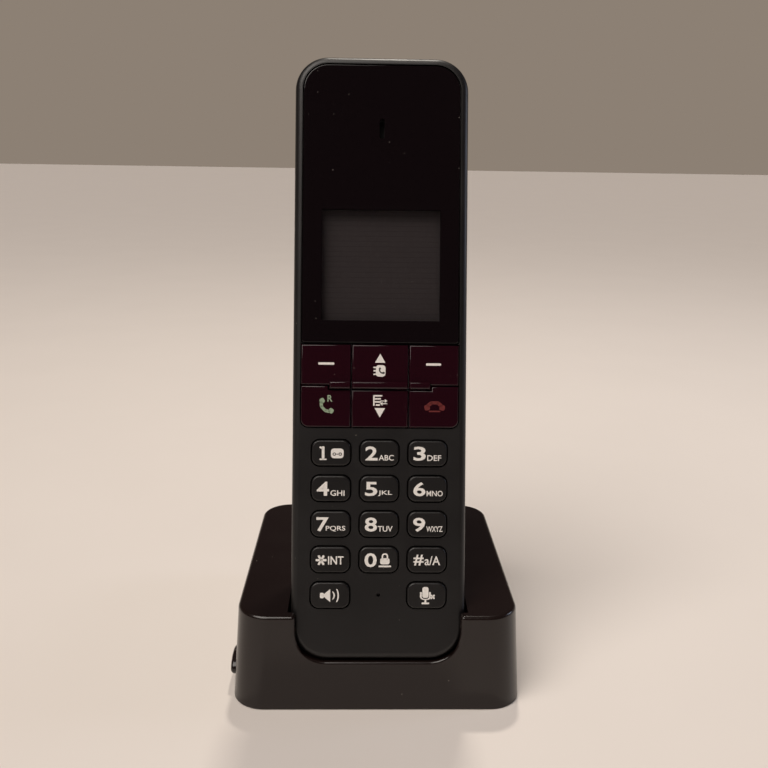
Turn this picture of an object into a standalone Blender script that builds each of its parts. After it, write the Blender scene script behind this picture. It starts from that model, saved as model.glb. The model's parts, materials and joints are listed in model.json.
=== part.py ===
"""Cordless telephone: a handset standing in its charging base.

Lengths are in metres, +Z is up and the front faces -Y. The origin is on the table, under
the middle of the base's footprint. The handset has a frame of its own: X across, Y from
its face into its back (the depth) and Z from its lower end to its top (the height).
"""
import math

import bmesh
import bpy
from mathutils import Vector

MM = 0.001

# Gaps and steps that several pieces share
GAP = 0.3 * MM                       # between pieces that touch
PAST = 1.0 * MM                      # a cutter's way beyond the wall it opens
MERGE = 0.5 * MM                     # a cutter's or joined block's way into a wall
EDGE_BREAK = 0.4 * MM                # chamfer of feet, cells and the door
CORNER_STEPS = 3                     # facets in a small round corner
ROUND_STEPS = 6                      # facets in a large round corner
CIRCLE_STEPS = 16                    # facets round a turned piece

# Base shell
BASE_WIDTH = 82.1 * MM               # at the lower rim, in front
BASE_DEPTH = 82.0 * MM               # at the lower rim
BASE_HEIGHT = 28.0 * MM              # table to flat top
BASE_RIM = 0.3 * MM                  # table to the shell's lower rim
BASE_WALL = 2.0 * MM
BASE_CORNER = 9.0 * MM               # radius of the upright corners
LEAST_CORNER = 1.0 * MM              # inside corners never get sharper
BASE_TOP_FILLET = 1.2 * MM
WALL_DRAFT = math.tan(math.radians(3.6))
BASE_TAPER = 0.9 * MM                # each side wall's way inwards from front to back

# Seat of the handset in the base
LEAN = math.radians(16.0)            # handset's lean towards the back
SEAT_DROP = 12.8 * MM                # base top to the handset's lower front edge
SEAT_SETBACK = 0.1 * MM              # front wall to the handset's lower front edge
POCKET_SIDE_GAP = 0.8 * MM
POCKET_FLOOR_GAP = 0.5 * MM
POCKET_WALL = 1.6 * MM
LIP_OVERLAP = 1.4 * MM               # front wall over the handset's side
LIP_CORNER = 8.5 * MM                # radius of the front wall's opening
LIP_GAP = 0.4 * MM                   # handset's face to the lips in front of it

# Base plate, its feet, screws and board
PLATE_THICK = 2.4 * MM
FOOT_RADIUS = 4.0 * MM
FOOT_THICK = 1.4 * MM
FOOT_INSET_X = 18.5 * MM             # shell side to foot centre
FOOT_INSET_Y = 8.0 * MM
BASE_SCREW_INSET = 9.7 * MM          # shell side to screw centre, both ways
BASE_BOSS_RADIUS = 3.5 * MM
BASE_BORE_DEPTH = 9.0 * MM           # plate to the end of a screw's bore
BASE_BOARD_WIDTH = 50.0 * MM
BASE_BOARD_THICK = 1.2 * MM
BASE_BOARD_LIFT = 1.6 * MM           # plate to board
BASE_BOARD_INSET = 6.5 * MM          # shell front and back to the board's edges
BOARD_CORNER = 2.0 * MM
POST_RADIUS = 2.5 * MM
POST_INSET_X = 4.0 * MM              # board's edges to the posts under it
POST_INSET_Y = 6.0 * MM

# Sockets in the back wall
JACK_WIDTH = 13.0 * MM
JACK_HEIGHT = 11.0 * MM
JACK_DEPTH = 13.0 * MM
JACK_MOUTH_WIDTH = 9.8 * MM
JACK_MOUTH_HEIGHT = 6.8 * MM
JACK_MOUTH_DEPTH = 11.0 * MM
JACK_OFFSET = 14.0 * MM              # middle of the base to each socket
JACK_RECESS = 1.0 * MM               # shell back at the rim to the socket's face

# Locate key in the left wall
PAGE_LENGTH = 12.0 * MM
PAGE_HEIGHT = 6.0 * MM
PAGE_SETBACK = 15.4 * MM             # shell front to the key's centre
PAGE_RISE = 1.5 * MM
PAGE_FLANGE = 0.5 * MM
PAGE_FLANGE_THICK = 0.8 * MM
PAGE_DOME = ((-1.2 * MM, 0.0), (-0.4 * MM, 0.35 * MM), (0.0, 1.0 * MM))  # growth, way down
PAGE_STEPS = 20                      # facets round the oval

# Handset outside
HANDSET_WIDTH = 48.4 * MM
HANDSET_LENGTH = 167.6 * MM
LOWER_CORNER = 10.0 * MM
UPPER_CORNER = 9.3 * MM
FACE_FILLET = 2.0 * MM
BACK_FILLET = 7.0 * MM
SIDE_WALL = 1.8 * MM
FACE_WALL = 2.4 * MM
BACK_WALL = 1.8 * MM
SEAM_DEPTH = 8.0 * MM                # face to the joint of the two shells
FACE_BORDER = 0.4 * MM               # face's round edge to the window and glossy keys

# Keys
KEY_SIDE_MARGIN = 5.5 * MM           # handset side to the outer keys
KEY_GAP = 2.64 * MM                  # between two columns
KEY_HEIGHT = 7.1 * MM
KEY_CORNER = 2.2 * MM
KEY_ROW_PITCH = 9.82 * MM
LOW_ROW_HEIGHT = 17.95 * MM          # lower end to the middle of the lowest row
KEY_RISE = 0.7 * MM
KEY_BEVEL = 0.5 * MM
KEY_CLEARANCE = 0.35 * MM
KEY_FLANGE = 0.5 * MM
KEY_FLANGE_THICK = 0.6 * MM
KEY_TRAVEL = 0.8 * MM
KEY_PLAY = 0.1 * MM                  # pressed key to the mat

# Glossy keys in one window of the face
CLUSTER_HEIGHT = 22.8 * MM
CLUSTER_GAP = 3.6 * MM               # top row of small keys to the cluster
CLUSTER_SPLIT = 11.25 * MM           # cluster's top to the seam between its rows
CLUSTER_MIDDLE = 15.9 * MM           # width of the middle column
CLUSTER_SEAM = 0.35 * MM
CLUSTER_RISE = 0.6 * MM
CLUSTER_CORNER = 2.0 * MM
CLUSTER_TOP_CORNER = 0.6 * MM
CLUSTER_BEVEL = 0.3 * MM
RIDGE_WIDTH = 28.0 * MM
RIDGE_HEIGHT = 2.05 * MM
RIDGE_DROP = 0.95 * MM               # seam to the ridge's lower edge
RIDGE_RISE = 0.9 * MM
RIDGE_BEVEL = 0.5 * MM
RIDGE_SLACK = 0.02 * MM              # keeps the ridge's ends off the keys' own edges
CLUSTER_SLACK = 0.05 * MM            # keeps the opening's top edge off the window's

# Window, display and sound
LENS_THICK = 1.1 * MM
LENS_CORNER = 6.9 * MM
LENS_LOW_CORNER = 0.8 * MM
LENS_BEVEL = 0.25 * MM
DISPLAY_WIDTH = 32.9 * MM
DISPLAY_HEIGHT = 30.9 * MM
DISPLAY_LIFT = 6.8 * MM              # cluster's top to the display's lower edge
LCD_THICK = 1.7 * MM
LCD_MARGIN = 2.3 * MM                # glass beyond the visible display
FRAME_MARGIN = 1.2 * MM
FRAME_THICK = 2.3 * MM
EAR_DROP = 20.2 * MM                 # top to the middle of the earpiece slot
EAR_SLOT_WIDTH = 1.4 * MM
EAR_SLOT_HEIGHT = 5.6 * MM
EAR_SPEAKER_RADIUS = 9.6 * MM
EAR_SPEAKER_THICK = 4.0 * MM
SPEAKER_BEVEL = 0.5 * MM
SPEAKER_STEP = 1.5 * MM              # thickness of the magnet, or of the rim round it
SPEAKER_INSET = 3.0 * MM             # speaker's rim to its magnet
MIC_HOLE_RADIUS = 0.5 * MM
MIC_RADIUS = 2.9 * MM
RINGER_RADIUS = 8.5 * MM
RINGER_THICK = 4.0 * MM
RINGER_DROP = 45.0 * MM              # top to the ringer's middle
GRILLE_SLOTS = 5
GRILLE_PITCH = 2.6 * MM
GRILLE_SLOT = 1.2 * MM
GRILLE_INSET = 1.5 * MM              # ringer's rim to the slots' ends

# Boards and mat inside the handset
MAT_THICK = 0.8 * MM
BOARD_THICK = 1.2 * MM
BOARD_PLAY = 0.4 * MM                # board to the battery well
BOARD_SIDE_GAP = 2.0 * MM
BOARD_TOP_GAP = 1.5 * MM             # earpiece to the board below it
MAT_LAP = 1.5 * MM                   # mat's way past the top of the glossy keys
SHIELD_WIDTH = 22.0 * MM
SHIELD_HEIGHT = 18.0 * MM
SHIELD_THICK = 2.5 * MM
SHIELD_WALL = 0.4 * MM
SHIELD_CORNER = 0.8 * MM
SHIELD_LIFT = 5.0 * MM               # battery well to the shield

# Battery cells, their well and the door
CELL_RADIUS = 5.25 * MM
CELL_LENGTH = 44.5 * MM
CELL_NUB_RADIUS = 1.9 * MM
CELL_NUB_LENGTH = 1.2 * MM
CELL_SPACING = 0.8 * MM              # between the two cells
SPRING_LENGTH = 6.6 * MM
SPRING_TURNS = 3
WIRE_RADIUS = 0.35 * MM
CONTACT_THICK = 0.7 * MM
WELL_WALL = 1.0 * MM
WELL_FLOOR = 0.6 * MM
WELL_CORNER = 1.0 * MM
PLATE_MARGIN = 1.0 * MM              # contact plate within the cell's outline
WELL_LOW = 45.0 * MM                 # lower end to the well
DOOR_THICK = 2.1 * MM
DOOR_FRAME_WALL = 2.0 * MM
LEDGE_THICK = 1.6 * MM
DOOR_MARGIN = 8.0 * MM               # well end to door end
DOOR_SIDE_MARGIN = 3.4 * MM          # well side to door side
DOOR_CORNER = 3.0 * MM
LUG_OFFSET = 9.0 * MM
LUG_WIDTH = 4.0 * MM
LUG_REACH = 1.8 * MM
LUG_THICK = 1.2 * MM
LUG_DROP = 1.6 * MM                  # door's inner face to the lug
LUG_ROOT = 1.8 * MM                  # hinge line to the end of the lug's root
LUG_SLOT_DEPTH = 4.0 * MM
LUG_SLOT_SLACK = 0.1 * MM
LUG_SWING = 5.4 * MM                 # room over the lugs for the door's tilt

# Charging contacts and screws
CHARGE_OFFSET = 8.0 * MM
CHARGE_DEPTH = 12.0 * MM             # handset face to the contacts
CHARGE_WIDTH = 5.0 * MM
CHARGE_BREADTH = 3.0 * MM
PAD_RECESS = 0.1 * MM                # handset's lower end to the contacts
PAD_REACH = 0.8 * MM                 # contacts' way past the inside of the wall
PIN_WIDTH = 2.4 * MM
PIN_BREADTH = 1.0 * MM
PIN_LENGTH = 5.0 * MM
PIN_RECESS = 0.2 * MM                # handset's lower end to the pins' tips
SCREW_RADIUS = 1.15 * MM
SCREW_HEAD_RADIUS = 2.4 * MM
SCREW_HEAD_THICK = 1.4 * MM
SCREW_HOLE_GAP = 0.3 * MM
SCREW_BEVEL = 0.3 * MM
SCREW_BITE = 8.0 * MM                # a base screw's length above the plate
SCREW_END = 1.8 * MM                 # inside of the face to a handset screw's end
BORE_LEFT = 1.2 * MM                 # inside of the face to the end of its bore
HEAD_SINK = 5.5 * MM                 # handset's back to the underside of a screw head
BOSS_STEP = 0.7 * MM                 # joint of the shells to the bosses' meeting
LOW_SCREW_OFFSET = 15.0 * MM
LOW_SCREW_HEIGHT = 6.5 * MM
HIGH_SCREW_OFFSET = 16.0 * MM
HIGH_SCREW_DROP = 8.0 * MM
FRONT_BOSS_RADIUS = 3.0 * MM
REAR_BOSS_RADIUS = 4.0 * MM

# Sizes that follow: depths inside the handset, from its face to its back
FLANGE_DEPTH = FACE_WALL + GAP
MAT_DEPTH = FLANGE_DEPTH + KEY_FLANGE_THICK + KEY_TRAVEL + KEY_PLAY
BOARD_DEPTH = MAT_DEPTH + MAT_THICK + GAP
WELL_DEPTH = BOARD_DEPTH + BOARD_THICK + BOARD_PLAY
CELL_DEPTH = WELL_DEPTH + WELL_FLOOR + GAP
DOOR_DEPTH = CELL_DEPTH + 2 * CELL_RADIUS + 2 * GAP
HANDSET_THICK = DOOR_DEPTH + DOOR_THICK
LEDGE_DEPTH = DOOR_DEPTH - GAP       # floor of the door's recess
LENS_RECESS = LENS_THICK + GAP

# Sizes that follow: heights on the handset and places across it
HALF_WIDTH = HANDSET_WIDTH / 2
FACE_HALF_WIDTH = HALF_WIDTH - FACE_FILLET - FACE_BORDER
KEY_WIDTH = (HANDSET_WIDTH - 2 * KEY_SIDE_MARGIN - 2 * KEY_GAP) / 3
KEY_COLUMN_PITCH = KEY_WIDTH + KEY_GAP
TOP_ROW_HEIGHT = LOW_ROW_HEIGHT + 4 * KEY_ROW_PITCH
CLUSTER_LOW = TOP_ROW_HEIGHT + KEY_HEIGHT / 2 + CLUSTER_GAP
CLUSTER_TOP = CLUSTER_LOW + CLUSTER_HEIGHT
CLUSTER_SEAM_HEIGHT = CLUSTER_TOP - CLUSTER_SPLIT
LENS_LOW = CLUSTER_TOP + 2 * GAP
LENS_TOP = HANDSET_LENGTH - FACE_FILLET - FACE_BORDER
DISPLAY_LOW = CLUSTER_TOP + DISPLAY_LIFT
DISPLAY_TOP = DISPLAY_LOW + DISPLAY_HEIGHT
EAR_HEIGHT = HANDSET_LENGTH - EAR_DROP
RINGER_HEIGHT = HANDSET_LENGTH - RINGER_DROP
WELL_LENGTH = SPRING_LENGTH + CELL_LENGTH + CONTACT_THICK + 4 * GAP
WELL_TOP = WELL_LOW + WELL_LENGTH
WELL_HALF_WIDTH = 2 * CELL_RADIUS + CELL_SPACING / 2 + GAP
CELL_OFFSET = CELL_RADIUS + CELL_SPACING / 2
CELL_AXIS_DEPTH = CELL_DEPTH + CELL_RADIUS
DOOR_LOW = WELL_LOW - DOOR_MARGIN
DOOR_TOP = WELL_TOP + DOOR_MARGIN
DOOR_HALF_WIDTH = WELL_HALF_WIDTH + DOOR_SIDE_MARGIN

# Sizes that follow: heights and places in the base
BASE_FRONT = -BASE_DEPTH / 2
SIDE_TAPER = BASE_TAPER / BASE_DEPTH
SEAT_Z = BASE_HEIGHT - SEAT_DROP
SEAT_Y = BASE_FRONT + (SEAT_Z - BASE_RIM) * WALL_DRAFT + SEAT_SETBACK
PLATE_TOP = BASE_RIM + PLATE_THICK
BASE_BOARD_Z = PLATE_TOP + BASE_BOARD_LIFT
PAGE_CENTRE_Z = PLATE_TOP + GAP + PAGE_FLANGE + PAGE_HEIGHT / 2
JACK_Z = BASE_BOARD_Z + BASE_BOARD_THICK + GAP
JACK_FACE = BASE_DEPTH / 2 - JACK_RECESS - (JACK_Z - BASE_RIM) * WALL_DRAFT
BASE_SCREW_X = BASE_WIDTH / 2 - BASE_SCREW_INSET
BASE_SCREW_Y = BASE_DEPTH / 2 - BASE_SCREW_INSET
FOOT_X = BASE_WIDTH / 2 - FOOT_INSET_X
FOOT_Y = BASE_DEPTH / 2 - FOOT_INSET_Y

MATERIALS = {
    "base_plastic": ((0.016, 0.011, 0.010), 0.32, 0.0),
    "face_plastic": ((0.010, 0.008, 0.008), 0.42, 0.0),
    "gloss_window": ((0.004, 0.002, 0.003), 0.05, 0.0),
    "gloss_key": ((0.013, 0.003, 0.006), 0.08, 0.0),
    "matt_key": ((0.008, 0.007, 0.007), 0.45, 0.0),
    "display_glass": ((0.030, 0.026, 0.026), 0.20, 0.0),
    "silicone_rubber": ((0.200, 0.200, 0.190), 0.60, 0.0),
    "foot_rubber": ((0.020, 0.020, 0.020), 0.80, 0.0),
    "circuit_laminate": ((0.020, 0.110, 0.050), 0.40, 0.0),
    "sheet_metal": ((0.600, 0.600, 0.580), 0.30, 1.0),
    "contact_metal": ((0.800, 0.760, 0.680), 0.25, 1.0),
    "cell_sleeve": ((0.050, 0.160, 0.080), 0.35, 0.0),
    "socket_plastic": ((0.020, 0.020, 0.022), 0.40, 0.0),
}


def clear_scene():
    """Take every object of the open file away."""
    for thing in list(bpy.data.objects):
        bpy.data.objects.remove(thing, do_unlink=True)


def material(name):
    """The named material, made from its colour, roughness and metallic value on first use."""
    found = bpy.data.materials.get(name)
    if found:
        return found
    colour, roughness, metallic = MATERIALS[name]
    made = bpy.data.materials.new(name)
    made.use_nodes = True
    shader = made.node_tree.nodes["Principled BSDF"]
    shader.inputs["Base Color"].default_value = (*colour, 1.0)
    shader.inputs["Roughness"].default_value = roughness
    shader.inputs["Metallic"].default_value = metallic
    return made


def empty(name, location, parent=None, tilt=0.0):
    """A plain axis to hang pieces on."""
    axis = bpy.data.objects.new(name, None)
    axis.location = location
    axis.rotation_euler = (tilt, 0.0, 0.0)
    axis.parent = parent
    bpy.context.scene.collection.objects.link(axis)
    return axis


def piece(name, mesh, finish, parent=None, location=(0.0, 0.0, 0.0)):
    """Turn a bmesh into a named object with its own material."""
    bmesh.ops.recalc_face_normals(mesh, faces=mesh.faces)
    data = bpy.data.meshes.new(name)
    mesh.to_mesh(data)
    mesh.free()
    data.shade_smooth()
    data.set_sharp_from_angle(angle=math.radians(35.0))
    data.materials.append(material(finish))
    made = bpy.data.objects.new(name, data)
    made.location = location
    made.parent = parent
    bpy.context.scene.collection.objects.link(made)
    return made


def combine(target, tool, operation):
    """Join a tool to a piece ("UNION") or cut it out ("DIFFERENCE"); the tool stays a guide."""
    modifier = target.modifiers.new(tool.name, "BOOLEAN")
    modifier.operation = operation
    modifier.solver = "EXACT"
    modifier.object = tool
    tool.hide_render = True
    tool.display_type = "WIRE"


# Outlines: lists of (across, up) pairs, anticlockwise

def round_outline(corners, steps=CORNER_STEPS):
    """Outline through (across, up, radius) corners, each turned into an arc."""
    outline = []
    for index, (across, up, radius) in enumerate(corners):
        corner = Vector((across, up))
        before = (Vector(corners[index - 1][:2]) - corner).normalized()
        after = (Vector(corners[(index + 1) % len(corners)][:2]) - corner).normalized()
        if radius <= 0.0:
            outline.append((across, up))
            continue
        half = before.angle(after) / 2
        centre = corner + (before + after).normalized() * (radius / math.sin(half))
        start = corner + before * (radius / math.tan(half)) - centre
        turn = start.angle_signed(corner + after * (radius / math.tan(half)) - centre)
        for step in range(steps + 1):
            angle = -turn * step / steps
            outline.append((
                centre.x + start.x * math.cos(angle) - start.y * math.sin(angle),
                centre.y + start.x * math.sin(angle) + start.y * math.cos(angle),
            ))
    return outline


def rectangle(left, right, low, high, radius=0.0, steps=CORNER_STEPS):
    """Rectangle with four equal corners."""
    corners = ((left, low, radius), (right, low, radius), (right, high, radius), (left, high, radius))
    return round_outline(corners, steps)


def circle(across, up, radius, steps=CIRCLE_STEPS):
    """Circle as an even polygon."""
    turns = [2 * math.pi * step / steps for step in range(steps)]
    return [(across + radius * math.cos(turn), up + radius * math.sin(turn)) for turn in turns]


def grown(outline, distance):
    """The outline moved outwards by a distance, or inwards when it is negative."""
    moved = []
    for index, point in enumerate(outline):
        here = Vector(point)
        came = (here - Vector(outline[index - 1])).normalized()
        goes = (Vector(outline[(index + 1) % len(outline)]) - here).normalized()
        side = Vector((came.y + goes.y, -came.x - goes.x)).normalized()
        reach = distance / side.dot(Vector((came.y, -came.x)))
        moved.append((here.x + side.x * reach, here.y + side.y * reach))
    return moved


# Bodies: bmeshes closed on all sides

def loft(rings):
    """A body through a row of equal rings of points, with a flat cap on each end."""
    mesh = bmesh.new()
    rows = [[mesh.verts.new(point) for point in ring] for ring in rings]
    for lower, upper in zip(rows, rows[1:]):
        for index in range(len(lower)):
            following = (index + 1) % len(lower)
            mesh.faces.new((lower[index], lower[following], upper[following], upper[index]))
    mesh.faces.new(rows[0])
    mesh.faces.new(rows[-1])
    return mesh


def facing(outline, depth):
    """A handset ring: the outline across and up, at one depth behind the face."""
    return [(across, depth, up) for across, up in outline]


def level(outline, height):
    """A base ring: the outline across and back, at one height."""
    return [(across, back, height) for across, back in outline]


def slab(outline, start, end, ring=facing):
    """A straight body between two depths, or two heights with ring=level."""
    return loft([ring(outline, start), ring(outline, end)])


def turned(profile, ring=facing):
    """A body turned about the depth or height axis through (radius, place) pairs."""
    return loft([ring(circle(0.0, 0.0, radius), place) for radius, place in profile])


def fillet_steps(radius, steps):
    """(inset, rise) pairs round a quarter fillet, from the flat face to the side."""
    turns = [0.5 * math.pi * step / steps for step in range(steps + 1)]
    return [(radius * (1 - math.sin(turn)), radius * (1 - math.cos(turn))) for turn in turns]


# The base

def base_outline(height, inset=0.0):
    """The base's plan at one height, from its rim sizes and the walls' draft."""
    shrink = (height - BASE_RIM) * WALL_DRAFT + inset
    half_width = BASE_WIDTH / 2 - shrink
    half_depth = BASE_DEPTH / 2 - shrink
    radius = max(BASE_CORNER - inset, LEAST_CORNER)
    back_width = half_width - BASE_TAPER
    corners = (
        (-half_width, -half_depth, radius),
        (half_width, -half_depth, radius),
        (back_width, half_depth, radius),
        (-back_width, half_depth, radius),
    )
    return round_outline(corners, ROUND_STEPS)


def seat_outline(extra_side, extra_floor, corner=LOWER_CORNER):
    """The handset's front outline round its lower end, made wider, and open at the top."""
    half = HALF_WIDTH + extra_side
    top = SEAT_DROP * 4
    radius = corner + max(extra_side, 0.0)
    low = -extra_floor
    corners = ((-half, low, radius), (half, low, radius), (half, top, 0.0), (-half, top, 0.0))
    return round_outline(corners, ROUND_STEPS)


def make_base_shell(seat):
    """The base's outer shell, open below, with the pocket that the handset stands in."""
    rings = []
    for inset, drop in fillet_steps(BASE_TOP_FILLET, 3):
        rings.append(level(base_outline(BASE_HEIGHT - drop, inset), BASE_HEIGHT - drop))
    rings.append(level(base_outline(BASE_RIM), BASE_RIM))
    shell = piece("base_top_shell", loft(rings), "base_plastic")

    ceiling = BASE_HEIGHT - BASE_WALL
    below = BASE_RIM - PAST
    hollow_rings = [level(base_outline(height, BASE_WALL), height) for height in (below, ceiling)]
    hollow = piece("base_hollow_cutter", loft(hollow_rings), "base_plastic")
    block = slab(
        seat_outline(POCKET_SIDE_GAP + POCKET_WALL, POCKET_FLOOR_GAP + POCKET_WALL),
        -BASE_WALL * 5,
        HANDSET_THICK + POCKET_SIDE_GAP + POCKET_WALL,
    )
    combine(hollow, piece("pocket_wall_guide", block, "base_plastic", seat), "DIFFERENCE")
    combine(shell, hollow, "DIFFERENCE")

    for across, back in base_screw_places():
        boss = slab(circle(across, back, BASE_BOSS_RADIUS), PLATE_TOP + GAP, ceiling + MERGE, level)
        combine(shell, piece("base_boss_guide", boss, "base_plastic"), "UNION")
        bore = slab(
            circle(across, back, SCREW_RADIUS + SCREW_HOLE_GAP),
            BASE_RIM,
            PLATE_TOP + BASE_BORE_DEPTH,
            level,
        )
        combine(shell, piece("base_bore_cutter", bore, "base_plastic"), "DIFFERENCE")

    pocket = slab(
        seat_outline(POCKET_SIDE_GAP, POCKET_FLOOR_GAP),
        -LIP_GAP,
        HANDSET_THICK + POCKET_SIDE_GAP,
    )
    combine(shell, piece("pocket_cutter", pocket, "base_plastic", seat), "DIFFERENCE")
    mouth = slab(seat_outline(-LIP_OVERLAP, POCKET_FLOOR_GAP, LIP_CORNER), -BASE_WALL * 6, 0.0)
    combine(shell, piece("pocket_mouth_cutter", mouth, "base_plastic", seat), "DIFFERENCE")
    for side in (-1, 1):
        slot = pin_body(side, GAP, -PIN_LENGTH, POCKET_FLOOR_GAP)
        combine(shell, piece("pin_slot_cutter", slot, "base_plastic", seat), "DIFFERENCE")
        socket = slab(
            rectangle(
                side * JACK_OFFSET - JACK_WIDTH / 2 - GAP,
                side * JACK_OFFSET + JACK_WIDTH / 2 + GAP,
                JACK_Z - GAP,
                JACK_Z + JACK_HEIGHT + GAP,
            ),
            BASE_DEPTH / 2 - BASE_WALL * 3,
            BASE_DEPTH / 2 + BASE_WALL,
        )
        combine(shell, piece("socket_cutter", socket, "base_plastic"), "DIFFERENCE")
    page_hole = page_body(((KEY_CLEARANCE, -BASE_WALL * 3), (KEY_CLEARANCE, BASE_WALL * 2)))
    cutter = piece("page_hole_cutter", page_hole, "base_plastic", None, page_place())
    combine(shell, cutter, "DIFFERENCE")
    return shell


def base_screw_places():
    """The four screws' places in plan."""
    return [(side * BASE_SCREW_X, end * BASE_SCREW_Y) for side in (-1, 1) for end in (-1, 1)]


def foot_places():
    """The four feet's places in plan."""
    return [(side * FOOT_X, end * FOOT_Y) for side in (-1, 1) for end in (-1, 1)]


def make_base_plate():
    """The plate that closes the base from below, with posts for the board."""
    outline = base_outline(PLATE_TOP, BASE_WALL + GAP)
    plate = piece("base_bottom_plate", slab(outline, BASE_RIM, PLATE_TOP, level), "base_plastic")
    post_x = BASE_BOARD_WIDTH / 2 - POST_INSET_X
    post_y = BASE_DEPTH / 2 - BASE_BOARD_INSET - POST_INSET_Y
    for side in (-1, 1):
        for end in (-1, 1):
            post = slab(
                circle(side * post_x, end * post_y, POST_RADIUS),
                PLATE_TOP - MERGE,
                BASE_BOARD_Z - GAP,
                level,
            )
            combine(plate, piece("post_guide", post, "base_plastic"), "UNION")
    sink = SCREW_HEAD_THICK + GAP
    for across, back in base_screw_places():
        seat = slab(
            circle(across, back, SCREW_HEAD_RADIUS + GAP),
            BASE_RIM - GAP,
            BASE_RIM + sink,
            level,
        )
        combine(plate, piece("head_cutter", seat, "base_plastic"), "DIFFERENCE")
        bore = slab(
            circle(across, back, SCREW_RADIUS + SCREW_HOLE_GAP),
            BASE_RIM,
            PLATE_TOP + GAP,
            level,
        )
        combine(plate, piece("bore_cutter", bore, "base_plastic"), "DIFFERENCE")
    for across, back in foot_places():
        recess = slab(
            circle(across, back, FOOT_RADIUS + GAP),
            BASE_RIM - GAP,
            FOOT_THICK + GAP,
            level,
        )
        combine(plate, piece("foot_recess_cutter", recess, "base_plastic"), "DIFFERENCE")
    return plate


def make_base_inside(seat):
    """Board, sockets, charging pins, feet and screws of the base."""
    half = BASE_BOARD_WIDTH / 2
    reach = BASE_DEPTH / 2 - BASE_BOARD_INSET
    board = rectangle(-half, half, -reach, reach, BOARD_CORNER)
    body = slab(board, BASE_BOARD_Z, BASE_BOARD_Z + BASE_BOARD_THICK, level)
    piece("base_circuit_board", body, "circuit_laminate")

    middle = JACK_Z + JACK_HEIGHT / 2
    for name, side in (("line_jack", -1), ("power_jack", 1)):
        outer = rectangle(-JACK_WIDTH / 2, JACK_WIDTH / 2, -JACK_HEIGHT / 2, JACK_HEIGHT / 2)
        mouth = rectangle(
            -JACK_MOUTH_WIDTH / 2,
            JACK_MOUTH_WIDTH / 2,
            -JACK_MOUTH_HEIGHT / 2,
            JACK_MOUTH_HEIGHT / 2,
        )
        rings = [
            facing(outer, -JACK_DEPTH),
            facing(outer, 0.0),
            facing(mouth, 0.0),
            facing(mouth, -JACK_MOUTH_DEPTH),
        ]
        place = (side * JACK_OFFSET, JACK_FACE, middle)
        piece(name, loft(rings), "socket_plastic", None, place)

    for name, side in (("charge_pin_left", -1), ("charge_pin_right", 1)):
        pin = pin_body(side, 0.0, -PIN_LENGTH - POCKET_FLOOR_GAP, -PIN_RECESS)
        piece(name, pin, "contact_metal", seat)

    corner_names = ("left_front", "left_back", "right_front", "right_back")
    for corner, (across, back) in zip(corner_names, foot_places()):
        profile = (
            (FOOT_RADIUS - EDGE_BREAK, 0.0),
            (FOOT_RADIUS, EDGE_BREAK),
            (FOOT_RADIUS, FOOT_THICK),
        )
        piece("foot_" + corner, turned(profile, level), "foot_rubber", None, (across, back, 0.0))
    for corner, (across, back) in zip(corner_names, base_screw_places()):
        profile = (
            (SCREW_HEAD_RADIUS - SCREW_BEVEL, 0.0),
            (SCREW_HEAD_RADIUS, SCREW_BEVEL),
            (SCREW_HEAD_RADIUS, SCREW_HEAD_THICK),
            (SCREW_RADIUS, SCREW_HEAD_THICK),
            (SCREW_RADIUS, PLATE_THICK + SCREW_BITE),
        )
        place = (across, back, BASE_RIM)
        piece("base_screw_" + corner, turned(profile, level), "sheet_metal", None, place)


def pin_body(side, extra, low, high):
    """A charging pin, or the slot it stands in, along the handset's height."""
    outline = rectangle(
        side * CHARGE_OFFSET - PIN_WIDTH / 2 - extra,
        side * CHARGE_OFFSET + PIN_WIDTH / 2 + extra,
        CHARGE_DEPTH - PIN_BREADTH / 2 - extra,
        CHARGE_DEPTH + PIN_BREADTH / 2 + extra,
    )
    return slab(outline, low, high, level)


def page_place():
    """Where the locate key crosses the outside of the left wall."""
    side = BASE_WIDTH / 2 - (PAGE_CENTRE_Z - BASE_RIM) * WALL_DRAFT - PAGE_SETBACK * SIDE_TAPER
    return (-side, BASE_FRONT + PAGE_SETBACK, PAGE_CENTRE_Z)


def page_body(steps):
    """A body of the locate key's oval through (growth, place across) pairs."""
    turns = [2 * math.pi * step / PAGE_STEPS for step in range(PAGE_STEPS)]
    rings = []
    for growth, across in steps:
        long = PAGE_LENGTH / 2 + growth
        tall = PAGE_HEIGHT / 2 + growth
        rings.append([(across, long * math.cos(turn), tall * math.sin(turn)) for turn in turns])
    return loft(rings)


def make_page_key():
    """The oval key that makes a lost handset ring."""
    inner = BASE_WALL + GAP + PAGE_HEIGHT / 2 * WALL_DRAFT + PAGE_LENGTH / 2 * SIDE_TAPER
    steps = [(growth, down - PAGE_RISE) for growth, down in PAGE_DOME]
    steps += [(0.0, inner), (PAGE_FLANGE, inner), (PAGE_FLANGE, inner + PAGE_FLANGE_THICK)]
    piece("page_key", page_body(steps), "base_plastic", None, page_place())


# The handset's shells

def handset_outline(inset=0.0):
    """The handset's front outline, moved inwards."""
    corners = (
        (-HALF_WIDTH, 0.0, LOWER_CORNER),
        (HALF_WIDTH, 0.0, LOWER_CORNER),
        (HALF_WIDTH, HANDSET_LENGTH, UPPER_CORNER),
        (-HALF_WIDTH, HANDSET_LENGTH, UPPER_CORNER),
    )
    return grown(round_outline(corners, ROUND_STEPS), -inset)


def screw_places():
    """The handset's four screws, across and up."""
    low = [(side * LOW_SCREW_OFFSET, LOW_SCREW_HEIGHT) for side in (-1, 1)]
    high = [(side * HIGH_SCREW_OFFSET, HANDSET_LENGTH - HIGH_SCREW_DROP) for side in (-1, 1)]
    return low + high


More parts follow.
